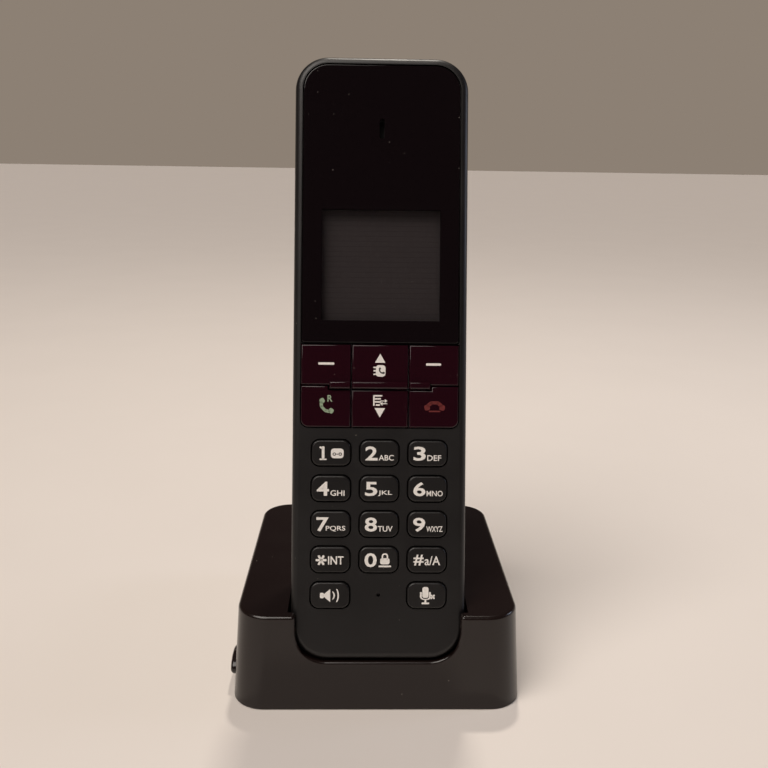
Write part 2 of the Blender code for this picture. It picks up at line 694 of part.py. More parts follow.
def make_front_shell(handset):
    """The front half with the face, its window recess and all the key holes."""
    rings = [facing(handset_outline(inset), depth) for inset, depth in fillet_steps(FACE_FILLET, 3)]
    rings.append(facing(handset_outline(), SEAM_DEPTH))
    rings.append(facing(handset_outline(SIDE_WALL), SEAM_DEPTH))
    rings.append(facing(handset_outline(SIDE_WALL), FACE_WALL))
    shell = piece("handset_front_shell", loft(rings), "face_plastic", handset)

    def cut(name, outline, start, end):
        combine(shell, piece(name, slab(outline, start, end), "face_plastic", handset), "DIFFERENCE")

    for across, up in screw_places():
        outline = circle(across, up, FRONT_BOSS_RADIUS, 12)
        boss = slab(outline, FACE_WALL - EDGE_BREAK, SEAM_DEPTH + BOSS_STEP)
        combine(shell, piece("front_boss_guide", boss, "face_plastic", handset), "UNION")
        bore = circle(across, up, SCREW_RADIUS + SCREW_HOLE_GAP, 12)
        cut("front_bore_cutter", bore, FACE_WALL + BORE_LEFT, SEAM_DEPTH + PAST)
    cut("lens_recess_cutter", grown(lens_outline(), GAP), -GAP, LENS_RECESS)
    margin = GAP
    cluster = round_outline((
        (-FACE_HALF_WIDTH - margin, CLUSTER_LOW - margin, CLUSTER_CORNER + margin),
        (FACE_HALF_WIDTH + margin, CLUSTER_LOW - margin, CLUSTER_CORNER + margin),
        (FACE_HALF_WIDTH + margin, CLUSTER_TOP + margin + CLUSTER_SLACK, 0.0),
        (-FACE_HALF_WIDTH - margin, CLUSTER_TOP + margin + CLUSTER_SLACK, 0.0),
    ))
    cut("cluster_hole_cutter", cluster, -PAST, FACE_WALL + PAST)
    display = rectangle(-DISPLAY_WIDTH / 2, DISPLAY_WIDTH / 2, DISPLAY_LOW, DISPLAY_TOP)
    cut("display_hole_cutter", display, MERGE, FACE_WALL + PAST)
    cut("ear_slot_cutter", ear_slot(), MERGE, FACE_WALL + PAST)
    cut("mic_hole_cutter", circle(0.0, LOW_ROW_HEIGHT, MIC_HOLE_RADIUS, 8), -GAP, FACE_WALL + PAST)
    for name, column, row in small_keys():
        hole = grown(key_outline(), KEY_CLEARANCE)
        place = (column * KEY_COLUMN_PITCH, 0.0, LOW_ROW_HEIGHT + row * KEY_ROW_PITCH)
        body = slab(hole, -PAST, FACE_WALL + PAST)
        combine(shell, piece(name + "_hole_cutter", body, "face_plastic", handset, place), "DIFFERENCE")


def make_rear_shell(handset):
    """The rear half with the battery well, the door's recess and the ringer's grille."""
    rings = []
    for inset, rise in fillet_steps(BACK_FILLET, 4):
        rings.append(facing(handset_outline(inset), HANDSET_THICK - rise))
    rings.append(facing(handset_outline(), SEAM_DEPTH + GAP))
    rings.append(facing(handset_outline(SIDE_WALL), SEAM_DEPTH + GAP))
    for inset, rise in reversed(fillet_steps(BACK_FILLET - SIDE_WALL, 4)):
        ring = handset_outline(inset + SIDE_WALL)
        rings.append(facing(ring, HANDSET_THICK - BACK_WALL - rise))
    shell = piece("handset_rear_shell", loft(rings), "face_plastic", handset)

    def shape(name, outline, start, end, operation):
        combine(shell, piece(name, slab(outline, start, end), "face_plastic", handset), operation)

    door = door_outline()
    frame = grown(door, DOOR_FRAME_WALL)
    shape("door_frame_guide", frame, LEDGE_DEPTH - LEDGE_THICK, HANDSET_THICK - PAST, "UNION")
    well = rectangle(-WELL_HALF_WIDTH, WELL_HALF_WIDTH, WELL_LOW, WELL_TOP, WELL_CORNER)
    shape("well_guide", grown(well, WELL_WALL), WELL_DEPTH, LEDGE_DEPTH - PAST, "UNION")
    shape("door_recess_cutter", grown(door, GAP), LEDGE_DEPTH, HANDSET_THICK + PAST, "DIFFERENCE")
    shape("well_cutter", well, WELL_DEPTH + WELL_FLOOR, HANDSET_THICK, "DIFFERENCE")
    for side in (-1, 1):
        slot = rectangle(
            side * LUG_OFFSET - LUG_WIDTH / 2 - GAP,
            side * LUG_OFFSET + LUG_WIDTH / 2 + GAP,
            DOOR_LOW - LUG_REACH - GAP,
            DOOR_LOW + LUG_SWING,
        )
        start = LEDGE_DEPTH - LUG_SLOT_DEPTH
        shape("lug_slot_cutter", slot, start, LEDGE_DEPTH + LUG_SLOT_SLACK, "DIFFERENCE")
        hole = rectangle(
            side * CHARGE_OFFSET - CHARGE_WIDTH / 2 - GAP,
            side * CHARGE_OFFSET + CHARGE_WIDTH / 2 + GAP,
            -PAST,
            SIDE_WALL + PAST,
        )
        start = CHARGE_DEPTH - CHARGE_BREADTH / 2 - GAP
        end = CHARGE_DEPTH + CHARGE_BREADTH / 2 + GAP
        shape("charge_hole_cutter", hole, start, end, "DIFFERENCE")
    for across, up in screw_places():
        boss = circle(across, up, REAR_BOSS_RADIUS, 12)
        meeting = SEAM_DEPTH + BOSS_STEP + GAP
        shape("rear_boss_guide", boss, meeting, HANDSET_THICK - PAST, "UNION")
        sink = circle(across, up, SCREW_HEAD_RADIUS + GAP, 12)
        shape("head_sink_cutter", sink, screw_head_depth() - GAP, HANDSET_THICK + PAST, "DIFFERENCE")
        bore = circle(across, up, SCREW_RADIUS + SCREW_HOLE_GAP, 12)
        shape("rear_bore_cutter", bore, SEAM_DEPTH, screw_head_depth(), "DIFFERENCE")
    for slot in range(GRILLE_SLOTS):
        middle = RINGER_HEIGHT + (slot - (GRILLE_SLOTS - 1) / 2) * GRILLE_PITCH
        half = math.sqrt((RINGER_RADIUS - GRILLE_INSET) ** 2 - (middle - RINGER_HEIGHT) ** 2)
        opening = rectangle(-half, half, middle - GRILLE_SLOT / 2, middle + GRILLE_SLOT / 2)
        start = HANDSET_THICK - BACK_WALL * 2
        shape("grille_cutter", opening, start, HANDSET_THICK + PAST, "DIFFERENCE")


def screw_head_depth():
    """Depth of the underside of the handset's screw heads."""
    return HANDSET_THICK - HEAD_SINK


def door_outline():
    """The battery door seen from the back."""
    return rectangle(-DOOR_HALF_WIDTH, DOOR_HALF_WIDTH, DOOR_LOW, DOOR_TOP, DOOR_CORNER)


def lens_outline():
    """The glossy window's outline: round at the top, nearly square over the keys."""
    return round_outline((
        (-FACE_HALF_WIDTH, LENS_LOW, LENS_LOW_CORNER),
        (FACE_HALF_WIDTH, LENS_LOW, LENS_LOW_CORNER),
        (FACE_HALF_WIDTH, LENS_TOP, LENS_CORNER),
        (-FACE_HALF_WIDTH, LENS_TOP, LENS_CORNER),
    ))


def ear_slot():
    """The upright slot over the earpiece."""
    return rectangle(
        -EAR_SLOT_WIDTH / 2,
        EAR_SLOT_WIDTH / 2,
        EAR_HEIGHT - EAR_SLOT_HEIGHT / 2,
        EAR_HEIGHT + EAR_SLOT_HEIGHT / 2,
    )


def make_door(handset):
    """The battery door, hung on two lugs at its lower edge, its origin on their line."""
    door = door_outline()
    hinge = (0.0, HANDSET_THICK, DOOR_LOW)
    low = [(across, up - DOOR_LOW) for across, up in door]
    rings = [
        facing(low, DOOR_DEPTH - HANDSET_THICK),
        facing(low, -EDGE_BREAK),
        facing(grown(low, -EDGE_BREAK), 0.0),
    ]
    body = piece("battery_door", loft(rings), "face_plastic", handset, hinge)
    inner = DOOR_DEPTH - HANDSET_THICK
    for side in (-1, 1):
        lug = loft([
            [(side * LUG_OFFSET + half * LUG_WIDTH / 2, depth, up) for depth, up in (
                (inner + MERGE, EDGE_BREAK),
                (inner - LUG_DROP, EDGE_BREAK),
                (inner - LUG_DROP, -LUG_REACH),
                (inner - LUG_DROP - LUG_THICK, -LUG_REACH),
                (inner - LUG_DROP - LUG_THICK, LUG_ROOT),
                (inner + MERGE, LUG_ROOT),
            )]
            for half in (-1, 1)
        ])
        combine(body, piece("lug_guide", lug, "face_plastic", handset, hinge), "UNION")


# Keys

def small_keys():
    """(name, column, row) of the fourteen matt keys; row 0 is the lowest."""
    rows = (
        ("speaker_key", None, "mute_key"),
        ("key_star", "key_0", "key_hash"),
        ("key_7", "key_8", "key_9"),
        ("key_4", "key_5", "key_6"),
        ("key_1", "key_2", "key_3"),
    )
    keys = []
    for row, names in enumerate(rows):
        for column, name in zip((-1, 0, 1), names):
            if name:
                keys.append((name, column, row))
    return keys


def key_outline():
    """A small key seen from the front, centred on its own middle."""
    return rectangle(-KEY_WIDTH / 2, KEY_WIDTH / 2, -KEY_HEIGHT / 2, KEY_HEIGHT / 2, KEY_CORNER)


def make_small_keys(handset):
    """Matt keys: a round-edged cap, a straight shank and a flange behind the face."""
    for name, column, row in small_keys():
        outline = key_outline()
        rings = [
            facing(grown(outline, -KEY_BEVEL), -KEY_RISE),
            facing(outline, -KEY_RISE + KEY_BEVEL),
            facing(outline, FLANGE_DEPTH),
            facing(grown(outline, KEY_FLANGE), FLANGE_DEPTH),
            facing(grown(outline, KEY_FLANGE), FLANGE_DEPTH + KEY_FLANGE_THICK),
        ]
        place = (column * KEY_COLUMN_PITCH, 0.0, LOW_ROW_HEIGHT + row * KEY_ROW_PITCH)
        piece(name, loft(rings), "matt_key", handset, place)


def cluster_outline(column, upper, flange):
    """One glossy key's outline; a flange grows past its outer edges and keeps off its neighbours."""
    slack = flange / 4
    seam = CLUSTER_SEAM / 2 + slack
    inner = CLUSTER_MIDDLE / 2 + seam
    if column == 0:
        inner = seam - CLUSTER_MIDDLE / 2
    outer = FACE_HALF_WIDTH + flange
    ridge = RIDGE_WIDTH / 2
    if upper:
        top = CLUSTER_TOP + flange
        shelf = CLUSTER_SEAM_HEIGHT - RIDGE_DROP + slack
        step = CLUSTER_SEAM_HEIGHT + seam
        if column == 0:
            return rectangle(inner, -inner, shelf, top)
        corners = (
            (inner, shelf, 0.0),
            (ridge - slack, shelf, 0.0),
            (ridge - slack, step, 0.0),
            (outer, step, 0.0),
            (outer, top, CLUSTER_TOP_CORNER),
            (inner, top, 0.0),
        )
    else:
        low = CLUSTER_LOW - flange
        shelf = CLUSTER_SEAM_HEIGHT - RIDGE_DROP - CLUSTER_SEAM - slack
        step = CLUSTER_SEAM_HEIGHT - seam
        notch = ridge + CLUSTER_SEAM + slack
        if column == 0:
            return rectangle(inner, -inner, low, shelf)
        corners = (
            (inner, low, 0.0),
            (outer, low, CLUSTER_CORNER),
            (outer, step, 0.0),
            (notch, step, 0.0),
            (notch, shelf, 0.0),
            (inner, shelf, 0.0),
        )
    if column > 0:
        return round_outline(corners)
    return round_outline([(-across, up, radius) for across, up, radius in reversed(corners)])


def make_cluster_keys(handset):
    """Six glossy keys, two rows of three, with a ridge on the upper row's lower edge."""
    places = (
        ("soft_key_left", -1, True),
        ("nav_up_key", 0, True),
        ("soft_key_right", 1, True),
        ("talk_key", -1, False),
        ("nav_down_key", 0, False),
        ("end_key", 1, False),
    )
    bevel = CLUSTER_BEVEL
    for name, column, upper in places:
        across = column * (CLUSTER_MIDDLE / 2 + FACE_HALF_WIDTH) / 2
        up = CLUSTER_SEAM_HEIGHT + (CLUSTER_SPLIT if upper else CLUSTER_SPLIT - CLUSTER_HEIGHT) / 2

        def own(outline):
            return [(point[0] - across, point[1] - up) for point in outline]

        outline = own(cluster_outline(column, upper, 0.0))
        flange = own(cluster_outline(column, upper, KEY_FLANGE))
        rings = [
            facing(grown(outline, -bevel), -CLUSTER_RISE),
            facing(outline, -CLUSTER_RISE + bevel),
            facing(outline, FLANGE_DEPTH),
            facing(flange, FLANGE_DEPTH),
            facing(flange, FLANGE_DEPTH + KEY_FLANGE_THICK),
        ]
        key = piece(name, loft(rings), "gloss_key", handset, (across, 0.0, up))
        if upper:
            edge = CLUSTER_MIDDLE / 2 - CLUSTER_SEAM / 2
            left, right = (-edge, edge)
            if column:
                left, right = sorted((column * (edge + CLUSTER_SEAM), column * RIDGE_WIDTH / 2))
            low = CLUSTER_SEAM_HEIGHT - RIDGE_DROP + RIDGE_SLACK
            bar = own(rectangle(left + RIDGE_SLACK, right - RIDGE_SLACK, low, low + RIDGE_HEIGHT))
            ridge = loft([
                facing(bar, 0.0),
                facing(bar, -CLUSTER_RISE - RIDGE_RISE + RIDGE_BEVEL),
                facing(grown(bar, -RIDGE_BEVEL), -CLUSTER_RISE - RIDGE_RISE),
            ])
            guide = piece(name + "_ridge_guide", ridge, "gloss_key", handset, (across, 0.0, up))
            combine(key, guide, "UNION")


# The handset's inner pieces

def make_window(handset):
    """The glossy window with the earpiece slot through it."""
    outline = lens_outline()
    bevel = LENS_BEVEL
    rings = [
        facing(grown(outline, -bevel), 0.0),
        facing(outline, bevel),
        facing(outline, LENS_THICK),
    ]
    window = piece("display_window", loft(rings), "gloss_window", handset)
    slot = slab(ear_slot(), -PAST, LENS_THICK + PAST)
    combine(window, piece("window_slot_cutter", slot, "gloss_window", handset), "DIFFERENCE")


def make_display(handset):
    """Display glass and the frame that holds it against the face."""
    half = DISPLAY_WIDTH / 2 + LCD_MARGIN
    low = DISPLAY_LOW - LCD_MARGIN
    top = DISPLAY_TOP + LCD_MARGIN
    glass = rectangle(-half, half, low, top)
    body = slab(glass, FLANGE_DEPTH, FLANGE_DEPTH + LCD_THICK)
    piece("lcd_module", body, "display_glass", handset)
    hole = grown(glass, GAP)
    outer = grown(hole, FRAME_MARGIN)
    back = FLANGE_DEPTH + FRAME_THICK
    frame = piece("lcd_frame", slab(outer, FLANGE_DEPTH, back), "socket_plastic", handset)
    opening = slab(hole, FLANGE_DEPTH - GAP, back + GAP)
    combine(frame, piece("frame_hole_cutter", opening, "socket_plastic", handset), "DIFFERENCE")


def make_mat_and_board(handset):
    """Keypad mat, main board and the tin over the radio."""
    inner = HALF_WIDTH - SIDE_WALL
    low = LOW_SCREW_HEIGHT + REAR_BOSS_RADIUS
    mat = rectangle(-inner + 2 * GAP, inner - 2 * GAP, low, CLUSTER_TOP + MAT_LAP, BOARD_CORNER)
    sheet = piece("keypad_mat", slab(mat, MAT_DEPTH, MAT_DEPTH + MAT_THICK), "silicone_rubber", handset)
    hole = slab(circle(0.0, LOW_ROW_HEIGHT, MIC_RADIUS + GAP, 12), MAT_DEPTH - GAP, BOARD_DEPTH)
    combine(sheet, piece("mat_hole_cutter", hole, "silicone_rubber", handset), "DIFFERENCE")
    top = EAR_HEIGHT - EAR_SPEAKER_RADIUS - BOARD_TOP_GAP
    board = rectangle(-inner + BOARD_SIDE_GAP, inner - BOARD_SIDE_GAP, low, top, BOARD_CORNER)
    body = slab(board, BOARD_DEPTH, BOARD_DEPTH + BOARD_THICK)
    piece("handset_circuit_board", body, "circuit_laminate", handset)
    tin_low = WELL_TOP + WELL_WALL + SHIELD_LIFT
    half = SHIELD_WIDTH / 2
    tin = rectangle(-half, half, tin_low, tin_low + SHIELD_HEIGHT, SHIELD_CORNER)
    start = BOARD_DEPTH + BOARD_THICK + GAP
    wall = SHIELD_WALL
    rings = [
        facing(tin, start + SHIELD_THICK),
        facing(tin, start),
        facing(grown(tin, -wall), start),
        facing(grown(tin, -wall), start + SHIELD_THICK - wall),
    ]
    piece("radio_shield", loft(rings), "sheet_metal", handset)


def make_sound(handset):
    """Earpiece, ringer and microphone as turned capsules."""
    thick = EAR_SPEAKER_THICK
    profile = (
        (EAR_SPEAKER_RADIUS - SPEAKER_BEVEL, 0.0),
        (EAR_SPEAKER_RADIUS, SPEAKER_BEVEL),
        (EAR_SPEAKER_RADIUS, thick - SPEAKER_STEP),
        (EAR_SPEAKER_RADIUS - SPEAKER_INSET, thick - SPEAKER_STEP),
        (EAR_SPEAKER_RADIUS - SPEAKER_INSET, thick),
    )
    piece("earpiece_speaker", turned(profile), "sheet_metal", handset, (0.0, FLANGE_DEPTH, EAR_HEIGHT))
    back = HANDSET_THICK - BACK_WALL - GAP
    profile = (
        (RINGER_RADIUS - SPEAKER_INSET, -RINGER_THICK),
        (RINGER_RADIUS - SPEAKER_INSET, SPEAKER_STEP - RINGER_THICK),
        (RINGER_RADIUS, SPEAKER_STEP - RINGER_THICK),
        (RINGER_RADIUS, -SPEAKER_BEVEL),
        (RINGER_RADIUS - SPEAKER_BEVEL, 0.0),
    )
    piece("ringer_speaker", turned(profile), "sheet_metal", handset, (0.0, back, RINGER_HEIGHT))
    profile = ((MIC_RADIUS, 0.0), (MIC_RADIUS, BOARD_DEPTH - GAP - FLANGE_DEPTH))
    piece("microphone", turned(profile), "sheet_metal", handset, (0.0, FLANGE_DEPTH, LOW_ROW_HEIGHT))


def spring_mesh():
    """A conical coil of wire from its wide foot up to its narrow tip."""
    steps = SPRING_TURNS * 10
    rings = []
    for step in range(steps + 1):
        share = step / steps
        turn = 2 * math.pi * SPRING_TURNS * share
        radius = CELL_RADIUS * (0.62 - 0.2 * share)
        rise = WIRE_RADIUS + (SPRING_LENGTH - 2 * WIRE_RADIUS) * share
        outward = Vector((math.cos(turn), math.sin(turn), 0.0))
        ring = []
        for corner in range(5):
            angle = 2 * math.pi * corner / 5
            point = outward * (radius + WIRE_RADIUS * math.cos(angle))
            point.z = rise + WIRE_RADIUS * math.sin(angle)
            ring.append(tuple(point))
        rings.append(ring)
    return loft(rings)


def make_battery(handset):
    """Two cells head to tail, each between a coil spring and a flat contact."""
    body = CELL_LENGTH - CELL_NUB_LENGTH
    profile = (
        (CELL_RADIUS - EDGE_BREAK, 0.0),
        (CELL_RADIUS, EDGE_BREAK),
        (CELL_RADIUS, body - EDGE_BREAK),
        (CELL_RADIUS - EDGE_BREAK, body),
        (CELL_NUB_RADIUS, body),
        (CELL_NUB_RADIUS, CELL_LENGTH),
    )
    for name, side in (("left", -1), ("right", 1)):
        foot = WELL_LOW if side < 0 else WELL_TOP
        axis = empty("cell_axis_" + name, (side * CELL_OFFSET, CELL_AXIS_DEPTH, foot), handset)
        if side > 0:
            axis.rotation_euler = (math.pi, 0.0, 0.0)
        spring_foot = (0.0, 0.0, GAP)
        piece("battery_spring_" + name, spring_mesh(), "contact_metal", axis, spring_foot)
        cell_foot = (0.0, 0.0, SPRING_LENGTH + 2 * GAP)
        piece("battery_cell_" + name, turned(profile, level), "cell_sleeve", axis, cell_foot)
        half = CELL_RADIUS - PLATE_MARGIN
        outline = rectangle(-half, half, -half, half, WELL_CORNER)
        plate = slab(outline, 0.0, CONTACT_THICK, level)
        plate_foot = (0.0, 0.0, SPRING_LENGTH + CELL_LENGTH + 3 * GAP)
        piece("battery_plate_" + name, plate, "contact_metal", axis, plate_foot)


def make_charge_contacts(handset):
    """Two metal pads in the lower end, over the base's pins."""
    for name, side in (("left", -1), ("right", 1)):
        outline = rectangle(
            side * CHARGE_OFFSET - CHARGE_WIDTH / 2,
            side * CHARGE_OFFSET + CHARGE_WIDTH / 2,
            CHARGE_DEPTH - CHARGE_BREADTH / 2,
            CHARGE_DEPTH + CHARGE_BREADTH / 2,
        )
        pad = slab(outline, PAD_RECESS, SIDE_WALL + PAD_REACH, level)
        piece("handset_contact_" + name, pad, "contact_metal", handset)


def make_handset_screws(handset):
    """Four screws that hold the rear shell to the front one."""
    head = screw_head_depth()
    names = ("low_left", "low_right", "high_left", "high_right")
    for name, (across, up) in zip(names, screw_places()):
        profile = (
            (SCREW_RADIUS, FACE_WALL + SCREW_END - head),
            (SCREW_RADIUS, 0.0),
            (SCREW_HEAD_RADIUS, 0.0),
            (SCREW_HEAD_RADIUS, SCREW_HEAD_THICK - SCREW_BEVEL),
            (SCREW_HEAD_RADIUS - SCREW_BEVEL, SCREW_HEAD_THICK),
        )
        place = (across, head, up)
        piece("handset_screw_" + name, turned(profile), "sheet_metal", handset, place)


def main():
    """Build the base, then the handset on its leaning axis."""
    clear_scene()
    seat = empty("seat_axis", (0.0, SEAT_Y, SEAT_Z), None, -LEAN)
    make_base_shell(seat)
    make_base_plate()
    make_base_inside(seat)
    make_page_key()

    handset = empty("handset_axis", (0.0, SEAT_Y, SEAT_Z), None, -LEAN)
    make_front_shell(handset)
    make_rear_shell(handset)
    make_door(handset)
    make_small_keys(handset)
    make_cluster_keys(handset)
    make_window(handset)
    make_display(handset)
    make_mat_and_board(handset)
    make_sound(handset)
    make_battery(handset)
    make_charge_contacts(handset)
    make_handset_screws(handset)


main()
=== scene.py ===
# %% [markdown]
# # A cordless telephone in its charging base
# The imported model is the fixed frame: it holds every solid at its true size and place, and the
# bodies that move. This lesson builds the looks around it. First the frame is loaded, and the
# size of the whole object is kept, to stand next to the size of the finished scene at the end.

# %% Load the frame
import json
import math

import bmesh
import bpy
from mathutils import Matrix, Vector


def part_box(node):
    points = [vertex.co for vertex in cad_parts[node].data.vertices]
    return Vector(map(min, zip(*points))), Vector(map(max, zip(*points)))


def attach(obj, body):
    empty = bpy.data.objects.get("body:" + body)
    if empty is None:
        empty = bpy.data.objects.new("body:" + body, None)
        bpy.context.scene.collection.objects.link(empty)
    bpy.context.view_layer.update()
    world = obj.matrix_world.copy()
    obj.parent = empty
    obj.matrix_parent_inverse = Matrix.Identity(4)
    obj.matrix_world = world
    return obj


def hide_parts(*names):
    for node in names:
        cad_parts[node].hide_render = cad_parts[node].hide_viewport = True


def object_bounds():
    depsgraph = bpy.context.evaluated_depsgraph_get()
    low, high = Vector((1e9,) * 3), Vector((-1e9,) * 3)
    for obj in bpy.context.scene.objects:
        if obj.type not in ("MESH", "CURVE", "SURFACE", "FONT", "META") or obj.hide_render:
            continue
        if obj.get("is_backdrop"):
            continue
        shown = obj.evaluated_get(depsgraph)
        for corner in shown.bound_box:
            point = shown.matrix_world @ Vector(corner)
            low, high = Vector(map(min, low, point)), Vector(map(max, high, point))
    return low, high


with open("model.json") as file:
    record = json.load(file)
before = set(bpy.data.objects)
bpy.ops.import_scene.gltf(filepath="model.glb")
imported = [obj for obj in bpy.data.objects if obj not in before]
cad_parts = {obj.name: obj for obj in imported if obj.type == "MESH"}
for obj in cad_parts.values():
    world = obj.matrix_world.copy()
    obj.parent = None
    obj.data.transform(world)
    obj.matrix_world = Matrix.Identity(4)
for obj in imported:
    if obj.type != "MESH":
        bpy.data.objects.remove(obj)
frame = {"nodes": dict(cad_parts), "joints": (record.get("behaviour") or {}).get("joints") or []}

MM = 0.001
cad_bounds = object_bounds()

# %% [markdown]
# ## The camera
# The eye stands 26 cm in front of the object's middle, 2 cm lower than the handset's top, and looks
# down by 15.5 degrees, so the leaning face is seen nearly square on. A camera's own axes are its
# right, its up and the way back from what it looks at, so three turns (pitch, yaw, roll) are
# enough to write its matrix.

# %% Camera
EYE = Vector((-5.6, -259.5, 155.4)) * MM
PITCH = math.radians(15.5)
YAW = math.radians(1.6)
ROLL = math.radians(0.92)
SENSOR = 36.0
LENS = 42.19


def camera_matrix():
    """Place of the camera: yaw about the vertical, then pitch, then roll about the view."""
    turn = Matrix.Rotation(-YAW, 3, "Z")
    ahead = turn @ Vector((0.0, math.cos(PITCH), -math.sin(PITCH)))
    above = turn @ Vector((0.0, math.sin(PITCH), math.cos(PITCH)))
    across = turn @ Vector((1.0, 0.0, 0.0))
    right = math.cos(ROLL) * across + math.sin(ROLL) * above
    up = math.cos(ROLL) * above - math.sin(ROLL) * across
    turned = Matrix((right, up, -ahead)).transposed()
    return Matrix.Translation(EYE) @ turned.to_4x4()


bpy.ops.object.camera_add()
camera = bpy.context.object
camera.name = "studio_camera"
camera.matrix_world = camera_matrix()
camera.data.sensor_width = SENSOR
camera.data.lens = LENS
camera.data.clip_start = 1.0 * MM
bpy.context.scene.camera = camera
print("camera at", [round(value / MM, 1) for value in EYE], "mm")

# %% [markdown]
# ## The handset's own axes
# The handset leans back in its pocket. It is far easier to model it upright and tip it at the
# end, as a toolmaker draws it. The slide that lifts it out runs along its length, so that joint's
# axis gives the lean, and the front shell's corner gives the place of its lower end.

# %% Upright axes of the handset
lift = next(joint for joint in frame["joints"] if joint["name"] == "handset_lift")
LEAN = math.atan2(lift["axis"][1], lift["axis"][2])
UPRIGHT = Matrix.Rotation(LEAN, 4, "X")


def corners_of(node, matrix):
    """Lowest and highest corner of a CAD node after a matrix."""
    points = [matrix @ vertex.co for vertex in frame["nodes"][node].data.vertices]
    low = Vector([min(point[axis] for point in points) for axis in range(3)])
    high = Vector([max(point[axis] for point in points) for axis in range(3)])
    return low, high


shell_low, shell_high = corners_of("handset_front_shell", UPRIGHT)
middle = (shell_low.x + shell_high.x) / 2
TO_SEAT = UPRIGHT.inverted() @ Matrix.Translation((middle, shell_low.y, shell_low.z))


def upright_box(node):
    """A handset node's corners: X across, Y from the face inwards, Z from the lower end up."""
    return corners_of(node, TO_SEAT.inverted())


print("lean", round(math.degrees(LEAN), 2), "degrees, front shell",
      [round(value / MM, 1) for value in upright_box("handset_front_shell")[1]], "mm")

# %% [markdown]
# ## Tools for shaping
# Everything below is made as by hand: add a block or a cylinder at its size and place, pick faces
# or edges by where they are, and extrude, inset or bevel them. These helpers keep each step to a
# line. An operator works on all that is selected, so each helper clears the selection first.

# %% Shaping helpers
def only(thing):
    """Make one object the selected and active one."""
    bpy.ops.object.select_all(action="DESELECT")
    thing.select_set(True)
    bpy.context.view_layer.objects.active = thing


def block(name, low, high):
    """A block between two corners."""
    bpy.ops.object.select_all(action="DESELECT")
    centre = (Vector(low) + Vector(high)) / 2
    bpy.ops.mesh.primitive_cube_add(size=1.0, location=centre)
    made = bpy.context.object
    made.name = name
    made.scale = Vector(high) - Vector(low)
    bpy.ops.object.transform_apply(location=True, rotation=True, scale=True)
    return made


def rod(name, start, end, radius, sides=32, end_radius=None):
    """A cylinder or a cone between two points."""
    bpy.ops.object.select_all(action="DESELECT")
    start = Vector(start)
    along = Vector(end) - start
    tip = radius if end_radius is None else end_radius
    turn = along.to_track_quat("Z", "Y").to_euler()
    bpy.ops.mesh.primitive_cone_add(
        vertices=sides,
        radius1=radius,
        radius2=tip,
        depth=along.length,
        location=start + along / 2,
        rotation=turn,
    )
    made = bpy.context.object
    made.name = name
    bpy.ops.object.transform_apply(location=True, rotation=True, scale=True)
    return made


def open_edit(thing, mode="EDGE"):
    """Enter edit mode with nothing picked and return the mesh to pick from."""
    only(thing)
    bpy.ops.object.mode_set(mode="EDIT")
    bpy.ops.mesh.select_mode(type=mode)
    bpy.ops.mesh.select_all(action="DESELECT")
    return bmesh.from_edit_mesh(thing.data)


def close_edit():
    """Back to object mode."""
    bpy.ops.object.mode_set(mode="OBJECT")


def bevel_edges(thing, picked, width, segments=4):
    """Round the edges that a test picks."""
    mesh = open_edit(thing)
    found = [edge for edge in mesh.edges if picked(edge)]
    for edge in found:
        edge.select_set(True)
    bmesh.update_edit_mesh(thing.data)
    bpy.ops.mesh.bevel(offset=width, segments=segments, affect="EDGES", clamp_overlap=True)
    close_edit()
    return len(found)


def pick_faces(thing, picked):
    """Enter edit mode with the faces that a test picks."""
    mesh = open_edit(thing, "FACE")
    found = [face for face in mesh.faces if picked(face)]
    for face in found:
        face.select_set(True)
    bmesh.update_edit_mesh(thing.data)
    return len(found)


def along(axis):
    """Test for straight edges that run along one axis."""
    def picked(edge):
        way = (edge.verts[0].co - edge.verts[1].co).normalized()
        return abs(way[axis]) > 0.995
    return picked


def on_plane(axis, place, slack=0.02 * MM):
    """Test for edges that lie in a plane across one axis."""
    return lambda edge: all(abs(vertex.co[axis] - place) < slack for vertex in edge.verts)


def sharp_in_plane(axis, place, least=50.0, slack=0.01 * MM):
    """Test for edges that lie in a plane across one axis and turn by more than some degrees."""
    flat = on_plane(axis, place, slack)
    return lambda edge: edge.calc_face_angle(0.0) >= math.radians(least) and flat(edge)


def carve(target, tool, operation="DIFFERENCE"):
    """Cut a tool out of a piece, or join it on, and take the tool away."""
    only(target)
    cut = target.modifiers.new("cut", "BOOLEAN")
    cut.operation = operation
    cut.solver = "EXACT"
    cut.object = tool
    bpy.ops.object.modifier_apply(modifier=cut.name)
    bpy.data.objects.remove(tool, do_unlink=True)


def join(name, parts):
    """Several objects as one."""
    only(parts[0])
    for part in parts[1:]:
        part.select_set(True)
    bpy.ops.object.join()
    parts[0].name = name
    return parts[0]


def duplicate(thing, name, offset=(0.0, 0.0, 0.0)):
    """A copy with its own mesh, moved by an offset."""
    only(thing)
    bpy.ops.object.duplicate()
    made = bpy.context.object
    made.name = name
    made.location = Vector(made.location) + Vector(offset)
    bpy.ops.object.transform_apply(location=True, rotation=True, scale=True)
    return made


def seat(thing):
    """Tip an upright handset piece into the base and apply the move to its mesh."""
    only(thing)
    thing.matrix_world = TO_SEAT @ thing.matrix_world
    bpy.ops.object.transform_apply(location=True, rotation=True, scale=True)


def finish_surface(thing, angle=35.0):
    """Smooth the rounded edges and keep the flat faces flat."""
    only(thing)
    bpy.ops.object.shade_smooth_by_angle(angle=math.radians(angle))
    weigh = thing.modifiers.new("weigh", "WEIGHTED_NORMAL")
    weigh.keep_sharp = True
    weigh.weight = 60
    bpy.ops.object.modifier_apply(modifier=weigh.name)


made_pieces = []


